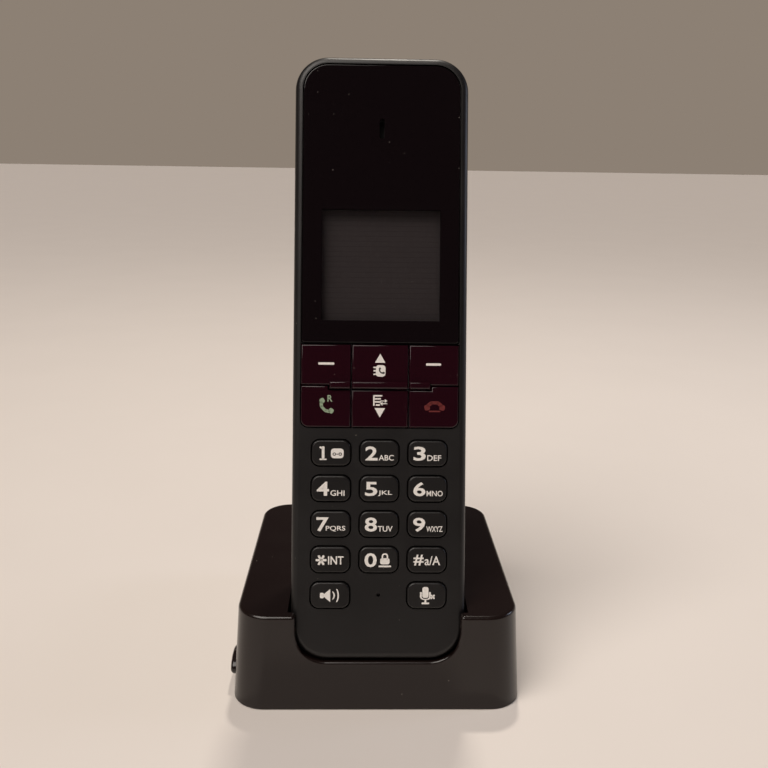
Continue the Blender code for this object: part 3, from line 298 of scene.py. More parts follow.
def place(thing, body, slot, finish, node=None, upright=True, angle=35.0):
    """Finish a piece: tip it, smooth it, paint it, tie it to its body, and hide its CAD node."""
    if upright:
        seat(thing)
    finish_surface(thing, angle)
    if not thing.data.materials:
        thing.data.materials.append(finish)
    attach(thing, body)
    if node:
        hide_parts(node)
    made_pieces.append(thing.name)
    return thing

# %% [markdown]
# ## Paint box
# Each finish starts from what the real one is. Its colour is an sRGB hex value, and a shader
# works in linear light, so one function converts it. Another adds a node with its settings and
# its links, and the finishes below are built from these two.

# %% Colour and node helpers
def linear(code):
    """An sRGB hex colour as linear red, green, blue and alpha."""
    parts = [int(code[start:start + 2], 16) / 255 for start in (1, 3, 5)]
    light = [part / 12.92 if part <= 0.04045 else ((part + 0.055) / 1.055) ** 2.4 for part in parts]
    return (*light, 1.0)


def node(tree, kind, settings=None, inputs=None):
    """Add a node, set its properties, and set or link its inputs."""
    made = tree.nodes.new(kind)
    for name, value in (settings or {}).items():
        setattr(made, name, value)
    for name, value in (inputs or {}).items():
        if isinstance(value, bpy.types.NodeSocket):
            tree.links.new(value, made.inputs[name])
        else:
            made.inputs[name].default_value = value
    return made


def new_finish(name, hex_colour, roughness, ior=1.5, metallic=0.0):
    """A Principled shader with its constant values set on its own sockets."""
    made = bpy.data.materials.new(name)
    made.use_nodes = True
    shader = made.node_tree.nodes["Principled BSDF"]
    shader.inputs["Base Color"].default_value = linear(hex_colour)
    shader.inputs["Roughness"].default_value = roughness
    shader.inputs["Metallic"].default_value = metallic
    if not metallic:
        shader.inputs["IOR"].default_value = ior
    return made, made.node_tree, shader


def per_metre(size_mm):
    """Scale of a pattern whose features are that many millimetres apart."""
    return 1.0 / (size_mm * MM)


def own_place(tree):
    """Object coordinates, in metres on every piece."""
    return node(tree, "ShaderNodeTexCoord").outputs["Object"]


def moulded_grain(tree, shader, size_mm, height_mm, roughness, spread):
    """Spark-eroded mould grain: a fine bump, and a gloss that varies a little with it."""
    coords = own_place(tree)
    fine = node(tree, "ShaderNodeTexNoise", inputs={
        "Vector": coords, "Scale": per_metre(size_mm), "Detail": 3.0, "Roughness": 0.6})
    bump = node(tree, "ShaderNodeBump", inputs={
        "Height": fine.outputs["Fac"], "Distance": height_mm * MM, "Strength": 0.6})
    tree.links.new(bump.outputs["Normal"], shader.inputs["Normal"])
    broad = node(tree, "ShaderNodeTexNoise", inputs={
        "Vector": coords, "Scale": per_metre(14.0), "Detail": 4.0})
    gloss = node(tree, "ShaderNodeMapRange", inputs={
        "Value": broad.outputs["Fac"], "From Min": 0.3, "From Max": 0.7,
        "To Min": roughness - spread, "To Max": roughness + spread})
    tree.links.new(gloss.outputs["Result"], shader.inputs["Roughness"])
    return coords


def settled_dust(tree, shader, coords, base_hex, spacing_mm, speck_mm, share, dust_hex):
    """Lint and dust: a few cells of a Voronoi pattern hold a pale speck each."""
    cells = node(tree, "ShaderNodeTexVoronoi", inputs={
        "Vector": coords, "Scale": per_metre(spacing_mm), "Randomness": 1.0})
    near = node(tree, "ShaderNodeMath", {"operation": "LESS_THAN"}, {
        0: cells.outputs["Distance"], 1: speck_mm / spacing_mm})
    tone = node(tree, "ShaderNodeSeparateColor", inputs={"Color": cells.outputs["Color"]})
    chosen = node(tree, "ShaderNodeMath", {"operation": "GREATER_THAN"}, {
        0: tone.outputs["Red"], 1: 1.0 - share})
    speck = node(tree, "ShaderNodeMath", {"operation": "MULTIPLY"}, {
        0: near.outputs[0], 1: chosen.outputs[0]})
    strength = node(tree, "ShaderNodeMath", {"operation": "MULTIPLY"}, {
        0: speck.outputs[0], 1: tone.outputs["Green"]})
    colour = node(tree, "ShaderNodeMix", {"data_type": "RGBA"}, {
        "Factor": strength.outputs[0], 6: linear(base_hex), 7: linear(dust_hex)})
    tree.links.new(colour.outputs[2], shader.inputs["Base Color"])


def moulded_finish(name, hex_colour, ior, grain, gloss, dust=None, dust_hex="#8f8880"):
    """A moulding: grain size and height in mm, gloss and its spread, dust spacing, speck, share."""
    made, tree, shader = new_finish(name, hex_colour, gloss[0], ior)
    coords = moulded_grain(tree, shader, *grain, *gloss)
    if dust:
        settled_dust(tree, shader, coords, hex_colour, *dust, dust_hex)
    return made, tree, shader, coords


print("paint box ready")

# %% [markdown]
# ## Finish: satin ABS of the base
# The base is a brownish black ABS moulding from a finely eroded mould: it mirrors the room in a
# soft blur and shows a bright line on every rounded edge. Its real grain is under 0.1 mm and too
# fine to see from here, so it is drawn at 0.5 mm.

# %% Satin ABS
satin_abs = moulded_finish(
    "satin_abs", "#1a1210", 1.46, (0.5, 0.008), (0.20, 0.03), (4.0, 0.16, 0.35))[0]
print("finish", satin_abs.name)

# %% [markdown]
# ## The base shell
# One moulding: a low box whose walls lean in by 3.6 degrees, so that it leaves its mould, with
# upright corners of 9 mm and a soft edge all round the top. It is a little narrower at the back.
# First a U is cut through the front wall and its rim is rounded together with the top edge, which
# gives the fine line of light. Then the pocket is cut behind it with a leaning block that has the
# handset's own round lower end. The pocket is wider than the U, so the front wall keeps two lips
# that hold the handset's sides.

# %% Base shell: outside
DRAFT = math.tan(math.radians(3.6))
BASE_WALL = 2.0 * MM
UPRIGHT_CORNER = 9.0 * MM
TOP_EDGE = 1.0 * MM
RIM_EDGE = 0.6 * MM
SIDE_TAPER = 0.9 * MM
LIP_OVERLAP = 1.4 * MM
LIP_GAP = 0.4 * MM
LIP_ROUND = 8.5 * MM
POCKET_SIDE = 0.8 * MM
POCKET_FLOOR = 0.5 * MM
POCKET_WALL = 1.6 * MM
POCKET_TALL = 60.0 * MM
POCKET_BACK_ROUND = 3.0 * MM
MOUTH_FRONT = -12.0 * MM             # well out of the front wall
MOUTH_BACK = 5.0 * MM
LOWER_ROUND = 10.0 * MM
UPPER_ROUND = 9.3 * MM

base_low, base_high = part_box("base_top_shell")
hand_low, hand_high = upright_box("handset_front_shell")
hand_back = upright_box("handset_rear_shell")[1].y


def drafted_block(name, inset, low_z, top_z, corner):
    """A box of the base's plan at each height, moved inwards, with round upright corners."""
    grow = inset + (low_z - base_low.z) * DRAFT
    made = block(
        name,
        (base_low.x + grow, base_low.y + grow, low_z),
        (base_high.x - grow, base_high.y - grow, top_z),
    )
    shrink = (top_z - low_z) * DRAFT
    width = base_high.x - base_low.x - 2 * grow
    depth = base_high.y - base_low.y - 2 * grow
    pick_faces(made, lambda face: face.normal.z > 0.9)
    bpy.ops.transform.resize(
        value=(1 - 2 * shrink / width, 1 - 2 * shrink / depth, 1),
        center_override=(0, 0, top_z),
    )
    close_edit()
    pick_faces(made, lambda face: face.normal.y > 0.9)
    bpy.ops.transform.resize(value=(1 - 2 * SIDE_TAPER / width, 1, 1), center_override=(0, 0, 0))
    close_edit()
    upright = lambda edge: abs(edge.verts[0].co.z - edge.verts[1].co.z) > 5 * MM
    bevel_edges(made, upright, corner, 14)
    return made


def pocket_block(name, extra, floor, front, back, corner=0.0, low_round=LOWER_ROUND):
    """A leaning block with the handset's round lower end."""
    made = block(
        name,
        (hand_low.x - extra, front, -floor),
        (hand_high.x + extra, back, POCKET_TALL),
    )
    deep = along(1)
    low = lambda edge: deep(edge) and edge.verts[0].co.z < 0
    bevel_edges(made, low, low_round + max(extra, 0.0), 16)
    if corner:
        at_back = on_plane(1, back)
        below = lambda edge: min(vertex.co.z for vertex in edge.verts) < POCKET_TALL - MM
        bevel_edges(made, lambda edge: at_back(edge) and below(edge), corner, 5)
    seat(made)
    return made


base = drafted_block("base_housing", 0.0, base_low.z, base_high.z, UPRIGHT_CORNER)
mouth = pocket_block(
    "mouth", -LIP_OVERLAP, POCKET_FLOOR, MOUTH_FRONT, MOUTH_BACK, low_round=LIP_ROUND)
carve(base, mouth)


def soft_edge(edge):
    """The top's outline and the pocket's rim: sharp edges that touch the top or the front wall."""
    if len(edge.link_faces) < 2 or edge.calc_face_angle(0.0) < math.radians(30):
        return False
    if any(face.normal.z < -0.9 for face in edge.link_faces):
        return False
    top = any(face.normal.z > 0.99 for face in edge.link_faces)
    front = any(
        face.normal.y < -0.95 and face.calc_center_median().y < base_low.y + 3 * MM
        for face in edge.link_faces
    )
    return top or front


count = bevel_edges(base, soft_edge, TOP_EDGE, 5)
pocket_depth = hand_back + POCKET_SIDE
carve(base, pocket_block(
    "pocket", POCKET_SIDE, POCKET_FLOOR, -LIP_GAP, pocket_depth, POCKET_BACK_ROUND))
rim = bevel_edges(base, sharp_in_plane(2, base_high.z, 30.0, 0.02 * MM), RIM_EDGE, 4)
print("pocket rim:", rim, "edges")
print("base outside:", count, "edges rounded,", len(base.data.polygons), "faces")

# %% [markdown]
# ## The base shell from below
# A moulding has thin walls, so the box is hollowed from below. The hollow is the same drafted box,
# one wall smaller, and keeps clear of the pocket. Screw posts, sockets, the slots for the charging
# pins and the hole for the locate key come from the CAD nodes that sit in them.

# %% Base shell: inside and openings
GAP = 0.3 * MM
KEPT_FRONT = -9.0 * MM               # the pocket's walls reach out through the front wall
POST_RADIUS = 3.5 * MM
SCREW_BORE = 1.45 * MM
BOARD_LIFT = 1.6 * MM                # base plate to the board
SOCKET_SINK = 7.0 * MM               # front of a socket to the hole cut for it
KEY_CLEARANCE = 0.35 * MM
PAGE_FLANGE = 0.5 * MM
hollow = drafted_block(
    "hollow", BASE_WALL, base_low.z - 1.0 * MM, base_high.z - BASE_WALL, UPRIGHT_CORNER - BASE_WALL)
keep = POCKET_SIDE + POCKET_WALL
carve(hollow, pocket_block("kept", keep, POCKET_FLOOR + POCKET_WALL, KEPT_FRONT, hand_back + keep))
carve(base, hollow)

CORNERS = ("left_front", "left_back", "right_front", "right_back")
plate_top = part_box("base_circuit_board")[0].z - BOARD_LIFT
for corner in CORNERS:
    low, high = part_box("base_screw_" + corner)
    x, y = (low.x + high.x) / 2, (low.y + high.y) / 2
    post = rod("post", (x, y, plate_top + GAP), (x, y, base_high.z - BASE_WALL / 2), POST_RADIUS)
    carve(post, rod("bore", (x, y, 0), (x, y, high.z + GAP), SCREW_BORE, 20))
    carve(base, post, "UNION")

for name in ("line_jack", "power_jack"):
    low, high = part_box(name)
    reach = Vector((GAP, 3 * MM, GAP))
    carve(base, block("socket", low + Vector((-GAP, SOCKET_SINK, -GAP)), high + reach))
for side in ("left", "right"):
    low, high = upright_box("charge_pin_" + side)
    slot = block("slot", low - Vector((GAP, GAP, 0)), high + Vector((GAP, GAP, 0)))
    seat(slot)
    carve(base, slot)


def oval(name, start, end, half_long, half_tall, centre):
    """A rod along X with an oval section."""
    made = rod(name, (start, 0, 0), (end, 0, 0), 1.0, 48)
    made.scale = (1.0, half_long, half_tall)
    made.location = (0, centre.y, centre.z)
    bpy.ops.object.transform_apply(location=True, rotation=True, scale=True)
    return made


page_low, page_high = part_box("page_key")
page_middle = (page_low + page_high) / 2
page_long = (page_high.y - page_low.y) / 2 - PAGE_FLANGE
page_tall = (page_high.z - page_low.z) / 2 - PAGE_FLANGE
hole = oval("hole", page_low.x - 2 * MM, page_high.x + 2 * MM, page_long + KEY_CLEARANCE,
            page_tall + KEY_CLEARANCE, page_middle)
carve(base, hole)
place(base, "base", "base_plastic", satin_abs, "base_top_shell", upright=False)
print("base housing:", len(base.data.polygons), "faces")

# %% [markdown]
# ## Finish: matt ABS of the handset
# The handset is black ABS with a finer, duller texture than the base, so that fingers leave no
# marks. The texture scatters the light: no sharp mirror, only a broad grey sheen.

# %% Matt ABS
matt_abs = moulded_finish(
    "matt_abs", "#0e0c0c", 1.5, (0.35, 0.010), (0.42, 0.04), (3.2, 0.12, 0.30))[0]
print("finish", matt_abs.name)

# %% [markdown]
# ## The handset's front case
# A moulding 2.4 mm thick in the face. A block gets the handset's outline by rounding its four
# deep edges, then its front rim is rounded by 2 mm all the way round. A second block, one wall
# smaller, hollows it from behind.

# %% Front case: outside and hollow
SIDE_WALL = 1.8 * MM
FACE_WALL = 2.4 * MM
FACE_ROUND = 2.0 * MM
SEAM_DEPTH = 8.0 * MM                # face to the joint of the two cases
RIM_ROUND = 0.15 * MM
HANDSET_CORNERS = ("low_left", "low_right", "high_left", "high_right")


def rounded_block(name, low, high, low_round, top_round, segments=8):
    """A block whose edges along its depth are rounded, the lower two and the upper two."""
    made = block(name, low, high)
    middle_height = (low[2] + high[2]) / 2
    deep = along(1)
    if low_round:
        lower = lambda edge: deep(edge) and edge.verts[0].co.z < middle_height
        bevel_edges(made, lower, low_round, segments)
    if top_round:
        upper = lambda edge: deep(edge) and edge.verts[0].co.z > middle_height
        bevel_edges(made, upper, top_round, segments)
    return made


def case_block(name, inset, front, back):
    """A block with the handset's outline, moved inwards."""
    return rounded_block(
        name,
        (hand_low.x + inset, front, inset),
        (hand_high.x - inset, back, hand_high.z - inset),
        LOWER_ROUND - inset,
        UPPER_ROUND - inset,
        16,
    )


def upright_rod(name, x, z, start, end, radius, sides=24):
    """A rod through the handset's depth."""
    return rod(name, (x, start, z), (x, end, z), radius, sides)


front_case = case_block("handset_front_case", 0.0, 0.0, SEAM_DEPTH)
bevel_edges(front_case, on_plane(1, 0.0), FACE_ROUND, 6)
carve(front_case, case_block("cavity", SIDE_WALL, FACE_WALL, SEAM_DEPTH + 1.0 * MM))
print("front case:", len(front_case.data.polygons), "faces")

# %% [markdown]
# ## Openings in the face
# The window lies in a shallow recess, the glossy keys share one opening under it, and each small
# key has its own hole, 0.35 mm larger than the key. The holes are modelled as one set of blocks
# and cut in a single step. Their rims get a 0.15 mm radius, as a mould leaves them: it is this
# tiny radius that catches the light round each key.

# %% Front case: openings
KEY_FLANGE = 0.5 * MM
KEY_ROUND = 2.2 * MM
LENS_ROUND = 6.9 * MM
LENS_SMALL_ROUND = 0.8 * MM
CLUSTER_ROUND = 2.0 * MM
LCD_MARGIN = 2.3 * MM
RECESS_START = 0.5 * MM              # cuts below the window start inside its recess
EDGE_SLACK = 0.05 * MM               # keeps two cuts from ending on the same line
EAR_HALF_WIDTH = 0.7 * MM
EAR_HALF_HEIGHT = 2.8 * MM
MIC_HOLE = 0.5 * MM
BOSS_RADIUS = 3.0 * MM
BOSS_ROOT = 0.4 * MM                 # a boss grows out of the face's inside
BOSS_STEP = 0.7 * MM                 # joint of the cases to where the bosses meet
BORE_START = 1.2 * MM                # inside of the face to the end of a bore
SMALL_KEYS = ("key_1", "key_2", "key_3", "key_4", "key_5", "key_6", "key_7", "key_8", "key_9",
              "key_star", "key_0", "key_hash", "speaker_key", "mute_key")
UPPER_KEYS = ("soft_key_left", "nav_up_key", "soft_key_right")
LOWER_KEYS = ("talk_key", "nav_down_key", "end_key")

lens_low, lens_high = upright_box("display_window")
lcd_low, lcd_high = upright_box("lcd_module")
cluster_low = upright_box("talk_key")[0].z + KEY_FLANGE
cluster_top = upright_box("soft_key_left")[1].z - KEY_FLANGE


def centre_of(node):
    """Middle of a handset node's upright box."""
    low, high = upright_box(node)
    return (low + high) / 2


def key_block(name, node, extra, front, back):
    """A block with a small key's outline, made larger."""
    low, high = upright_box(node)
    rim = KEY_FLANGE - extra
    return rounded_block(
        name, (low.x + rim, front, low.z + rim), (high.x - rim, back, high.z - rim),
        KEY_ROUND + extra, KEY_ROUND + extra, 8)


def lens_block(name, extra, front, back):
    """A block with the window's outline, made larger."""
    return rounded_block(
        name, (lens_low.x - extra, front, lens_low.z - extra),
        (lens_high.x + extra, back, lens_high.z + extra),
        LENS_SMALL_ROUND, LENS_ROUND + extra, 12)


holes = [key_block("hole", name, KEY_CLEARANCE, -MM, FACE_WALL + MM) for name in SMALL_KEYS]
carve(front_case, join("key_holes", holes))
carve(front_case, lens_block("recess", GAP, -MM, lens_high.y + GAP))
carve(front_case, rounded_block(
    "window", (lens_low.x - GAP, -MM, cluster_low - GAP),
    (lens_high.x + GAP, FACE_WALL + MM, cluster_top + GAP + EDGE_SLACK), CLUSTER_ROUND + GAP, 0.0))
display_low = lcd_low + Vector((LCD_MARGIN, 0, LCD_MARGIN))
display_high = lcd_high - Vector((LCD_MARGIN, 0, LCD_MARGIN))
carve(front_case, block(
    "display_hole", (display_low.x, RECESS_START, display_low.z),
    (display_high.x, FACE_WALL + MM, display_high.z)))
ear = centre_of("earpiece_speaker")


def ear_block(name, front, back):
    """The upright slot over the earpiece, with round ends."""
    return rounded_block(
        name, (-EAR_HALF_WIDTH, front, ear.z - EAR_HALF_HEIGHT),
        (EAR_HALF_WIDTH, back, ear.z + EAR_HALF_HEIGHT),
        EAR_HALF_WIDTH * 0.98, EAR_HALF_WIDTH * 0.98, 6)


carve(front_case, ear_block("ear_slot", RECESS_START, FACE_WALL + MM))
mic = centre_of("microphone")
carve(front_case, upright_rod("mic_hole", mic.x, mic.z, -MM, FACE_WALL + MM, MIC_HOLE))
rims = bevel_edges(front_case, sharp_in_plane(1, 0.0), RIM_ROUND, 2)
for corner in HANDSET_CORNERS:
    spot = centre_of("handset_screw_" + corner)
    boss = upright_rod("boss", spot.x, spot.z, FACE_WALL - BOSS_ROOT, SEAM_DEPTH + BOSS_STEP,
                       BOSS_RADIUS)
    bore = upright_rod("bore", spot.x, spot.z, FACE_WALL + BORE_START, SEAM_DEPTH + MM, SCREW_BORE)
    carve(boss, bore)
    carve(front_case, boss, "UNION")
place(front_case, "handset", "face_plastic", matt_abs, "handset_front_shell")
print("front case:", rims, "rim edges,", len(front_case.data.polygons), "faces")

# %% [markdown]
# ## The handset's rear case
# The back is the same outline with a 7 mm radius that fills the hand. The well for the two cells,
# the frame of the door and the four screw posts stand inside it, so they are joined on before the
# recess, the well, the slots and the sound holes are cut.

# %% Rear case
BACK_ROUND = 7.0 * MM
BACK_WALL = 1.8 * MM
CELL_MARGIN = 0.3 * MM
WELL_LOW = 45.0 * MM
WELL_TOP = 98.0 * MM
WELL_FRONT = 6.9 * MM
LEDGE = 18.6 * MM
LUG_REACH = 1.8 * MM
LUG_SWING = 5.4 * MM
DOOR_ROUND = 3.0 * MM
HEAD_DEPTH = 15.5 * MM
HEAD_SINK = 2.7 * MM                 # radius of the well over a screw's head
REAR_POST = 4.0 * MM
FRAME_WALL = 2.0 * MM
LEDGE_THICK = 1.6 * MM
WELL_FLOOR = 0.6 * MM
LUG_OFFSET = 9.0 * MM
LUG_HALF_WIDTH = 2.0 * MM
LUG_SLOT_DEPTH = 4.0 * MM
CONTACT_OFFSET = 8.0 * MM
CONTACT_HALF_WIDTH = 2.8 * MM
CONTACT_FRONT = 10.2 * MM
CONTACT_BACK = 13.8 * MM
GRILLE_REACH = 7.0 * MM
GRILLE_PITCH = 2.6 * MM
GRILLE_HALF = 0.6 * MM
GRILLE_ROUND = 0.58 * MM

rear_case = case_block("handset_rear_case", 0.0, SEAM_DEPTH + GAP, hand_back)
bevel_edges(rear_case, on_plane(1, hand_back), BACK_ROUND, 12)
cavity_back = hand_back - BACK_WALL
cavity = case_block("cavity", SIDE_WALL, SEAM_DEPTH - MM, cavity_back)
bevel_edges(cavity, on_plane(1, cavity_back), BACK_ROUND - BACK_WALL, 8)
carve(rear_case, cavity)

door_low, door_high = upright_box("battery_door")
door_foot = door_low.z + LUG_REACH
well_half = upright_box("battery_cell_right")[1].x + CELL_MARGIN


def door_block(name, extra, front, back):
    """A block with the door's outline, made larger."""
    return rounded_block(
        name, (door_low.x - extra, front, door_foot - extra),
        (door_high.x + extra, back, door_high.z + extra), DOOR_ROUND + extra, DOOR_ROUND + extra)


carve(rear_case, door_block("frame", FRAME_WALL, LEDGE - LEDGE_THICK, hand_back - MM), "UNION")
carve(rear_case, block(
    "well_wall", (-well_half - MM, WELL_FRONT, WELL_LOW - MM),
    (well_half + MM, LEDGE - MM, WELL_TOP + MM)), "UNION")
for corner in HANDSET_CORNERS:
    spot = centre_of("handset_screw_" + corner)
    post = upright_rod("post", spot.x, spot.z, SEAM_DEPTH + MM, hand_back - MM, REAR_POST)
    carve(rear_case, post, "UNION")
    sink = upright_rod("sink", spot.x, spot.z, HEAD_DEPTH - GAP, hand_back + MM, HEAD_SINK)
    carve(rear_case, sink)
    bore = upright_rod("bore", spot.x, spot.z, SEAM_DEPTH, HEAD_DEPTH, SCREW_BORE)
    carve(rear_case, bore)
carve(rear_case, door_block("door_recess", GAP, LEDGE, hand_back + MM))
carve(rear_case, block(
    "well", (-well_half, WELL_FRONT + WELL_FLOOR, WELL_LOW), (well_half, hand_back, WELL_TOP)))
for side in (-1, 1):
    middle_x = side * LUG_OFFSET
    half = LUG_HALF_WIDTH + GAP
    carve(rear_case, block(
        "lug_slot", (middle_x - half, LEDGE - LUG_SLOT_DEPTH, door_foot - LUG_REACH - GAP),
        (middle_x + half, LEDGE + 2 * EDGE_SLACK, door_foot + LUG_SWING)))
    middle_x = side * CONTACT_OFFSET
    carve(rear_case, block(
        "charge_hole", (middle_x - CONTACT_HALF_WIDTH, CONTACT_FRONT, -MM),
        (middle_x + CONTACT_HALF_WIDTH, CONTACT_BACK, SIDE_WALL + MM)))
ringer = centre_of("ringer_speaker")
for slot in range(-2, 3):
    height = slot * GRILLE_PITCH
    half = math.sqrt(GRILLE_REACH ** 2 - height ** 2)
    carve(rear_case, rounded_block(
        "grille", (-half, hand_back - 2 * BACK_WALL, ringer.z + height - GRILLE_HALF),
        (half, hand_back + MM, ringer.z + height + GRILLE_HALF), GRILLE_ROUND, GRILLE_ROUND, 4))
rims = bevel_edges(rear_case, sharp_in_plane(1, hand_back), RIM_ROUND, 2)
place(rear_case, "handset", "face_plastic", matt_abs, "handset_rear_shell")
print("rear case:", rims, "rim edges,", len(rear_case.data.polygons), "faces")

# %% [markdown]
# ## The battery door
# A flat lid with a soft outer edge. A thumb pushes it by three shallow grooves near its top, and
# two hooked lugs at its foot hold it: the door tilts about them and then lifts away.

# %% Battery door
DOOR_FRONT = 18.9 * MM
LUG_THICK = 1.2 * MM
LUG_DROP = 1.6 * MM                  # inside of the lid to the hook
LEG_ROOT = 0.5 * MM
LEG_TOP = 1.8 * MM
HOOK_TOP = 1.0 * MM
DOOR_EDGE = 0.4 * MM
GROOVE_TOP = 7.0 * MM                # lid's top to its first thumb groove
GROOVE_PITCH = 2.4 * MM
GROOVE_HALF = 0.5 * MM
GROOVE_REACH = 6.0 * MM
GROOVE_ROUND = 0.48 * MM
door = door_block("battery_lid", 0.0, DOOR_FRONT, hand_back)
bevel_edges(door, on_plane(1, hand_back), DOOR_EDGE, 3)
for line in range(3):
    height = door_high.z - GROOVE_TOP - GROOVE_PITCH * line
    groove = rounded_block(
        "groove", (-GROOVE_REACH, hand_back - GROOVE_HALF, height - GROOVE_HALF),
        (GROOVE_REACH, hand_back + MM, height + GROOVE_HALF), GROOVE_ROUND, GROOVE_ROUND, 4)
    carve(door, groove)
for side in (-1, 1):
    left, right = side * LUG_OFFSET - LUG_HALF_WIDTH, side * LUG_OFFSET + LUG_HALF_WIDTH
    hook_front = DOOR_FRONT - LUG_DROP - LUG_THICK
    leg = block("leg", (left, hook_front, door_foot + DOOR_EDGE),
                (right, DOOR_FRONT + LEG_ROOT, door_foot + LEG_TOP))
    hook = block("hook", (left, hook_front, door_foot - LUG_REACH),
                 (right, hook_front + LUG_THICK, door_foot + HOOK_TOP))
    carve(leg, hook, "UNION")
    carve(door, leg, "UNION")
place(door, "battery_door", "face_plastic", matt_abs, "battery_door")
print("battery door:", len(door.data.polygons), "faces")

# %% [markdown]
# ## Finishes of the keys
# The small keys are silicone rubber under a hard lacquer, matt like the case but a little
# smoother. The six large keys are clear acrylic printed wine red on the inside and polished, so
# they mirror the room and their colour shows only where the light falls in. The signs are pad
# printed: a film of ink, 0.02 mm thick, whose white is never perfectly even.

# %% Key and ink finishes
key_lacquer = moulded_finish(
    "key_lacquer", "#100e0e", 1.48, (0.3, 0.006), (0.40, 0.05), (3.0, 0.11, 0.25))[0]
wine_acrylic = moulded_finish(
    "wine_acrylic", "#22060f", 1.49, (2.5, 0.004), (0.08, 0.03), (1.8, 0.10, 0.22))[0]


def ink_finish(name, hex_light, hex_dark):
    """Pad-printing ink: two close tones in fine patches, as the pad leaves it."""
    made, tree, shader = new_finish(name, hex_light, 0.5, 1.5)
    patches = node(tree, "ShaderNodeTexNoise", inputs={
        "Vector": own_place(tree), "Scale": per_metre(0.6), "Detail": 2.0})
    colour = node(tree, "ShaderNodeMix", {"data_type": "RGBA"}, {
        "Factor": patches.outputs["Fac"], 6: linear(hex_dark), 7: linear(hex_light)})
    tree.links.new(colour.outputs[2], shader.inputs["Base Color"])
    return made


white_ink = ink_finish("white_ink", "#f6f3ee", "#dcd8d2")
green_ink = ink_finish("green_ink", "#a3b59b", "#7b9073")
red_ink = ink_finish("red_ink", "#742220", "#541716")
dark_ink = ink_finish("dark_ink", "#1c1718", "#100c0d")
print("finishes", key_lacquer.name, wine_acrylic.name, white_ink.name, green_ink.name, red_ink.name)

# %% [markdown]
# ## Printing signs
# Letters are set as text and signs as glyphs, bars and arcs. Each is made a mesh at once, fitted
# to its width and height in millimetres and laid on the key's face, and then joined to its key,
# so that it moves with it. The key's own material stays the first one.

# %% Sign helpers
INK = 0.02 * MM
KEY_RISE = 0.7 * MM
CLUSTER_RISE = 0.6 * MM


def printed(words, x, z, height, ink, face, width=None, bold=0.0, middle=False):
    """Words or a glyph fitted to a height, from their lower left corner or about their middle."""
    bpy.ops.object.select_all(action="DESELECT")
    bpy.ops.object.text_add()
    made = bpy.context.object
    made.data.body = words
    made.data.offset = bold
    made.data.extrude = 0.01
    made.data.resolution_u = 3
    bpy.ops.object.convert(target="MESH")
    made = bpy.context.object
    made.name = "print"
    points = [vertex.co for vertex in made.data.vertices]
    low = [min(point[axis] for point in points) for axis in range(2)]
    high = [max(point[axis] for point in points) for axis in range(2)]
    tall = height / (high[1] - low[1])
    wide = tall if width is None else width / (high[0] - low[0])
    anchor = Vector((low[0], low[1], -0.01))
    if middle:
        anchor = Vector(((low[0] + high[0]) / 2, (low[1] + high[1]) / 2, -0.01))
    made.matrix_world = (
        Matrix.Translation((x, face + INK, z))
        @ Matrix.Rotation(math.radians(90), 4, "X")
        @ Matrix.Diagonal((wide, tall, INK / 0.02, 1.0))
        @ Matrix.Translation(-anchor)
    )
    bpy.ops.object.transform_apply(location=True, rotation=True, scale=True)
    made.data.materials.append(ink)
    return made


def bar(x, z, width, height, ink, face, turn=0.0):
    """A printed bar about its middle, with rounded ends, turned by degrees."""
    made = block("print", (-width / 2, face, -height / 2), (width / 2, face + INK, height / 2))
    deep = along(1)
    bevel_edges(made, deep, min(width, height) * 0.3, 3)
    made.rotation_euler = (0.0, math.radians(turn), 0.0)
    made.location = (x, 0.0, z)
    bpy.ops.object.transform_apply(location=True, rotation=True, scale=True)
    made.data.materials.append(ink)
    return made


def receiver(x, z, size, ink, face, turn=0.0):
    """A telephone receiver: an arched grip with two thick ends."""
    parts = []
    for place_x, place_z, width, height, own in (
            (-0.36, -0.10, 0.26, 0.26, -12), (-0.24, 0.06, 0.28, 0.17, -38),
            (0.0, 0.13, 0.40, 0.15, 0), (0.24, 0.06, 0.28, 0.17, 38),
            (0.36, -0.10, 0.26, 0.26, 12)):
        angle = math.radians(turn)
        across = place_x * math.cos(angle) + place_z * math.sin(angle)
        up = place_z * math.cos(angle) - place_x * math.sin(angle)
        parts.append(bar(x + across * size, z + up * size, width * size, height * size, ink, face,
                         own + turn))
    return parts


print("sign helpers ready")

# %% [markdown]
# ## The fourteen small keys
# One key is modelled: a round-cornered block with a 0.5 mm radius on its top edge, a straight
# shank through the face, and a flange behind it that stops the key from falling out. It is copied
# to the other places, and each copy gets its own print.

# %% Small keys
KEY_EDGE = 0.5 * MM
FLANGE_FRONT = FACE_WALL + GAP
FLANGE_BACK = FLANGE_FRONT + 0.6 * MM
KEY_TOP = INK - KEY_RISE

master = key_block("master_key", "key_5", 0.0, KEY_TOP, FLANGE_FRONT + 0.1 * MM)
bevel_edges(master, on_plane(1, KEY_TOP), KEY_EDGE, 5)
carve(master, key_block("flange", "key_5", KEY_FLANGE, FLANGE_FRONT, FLANGE_BACK), "UNION")
master.data.materials.append(key_lacquer)

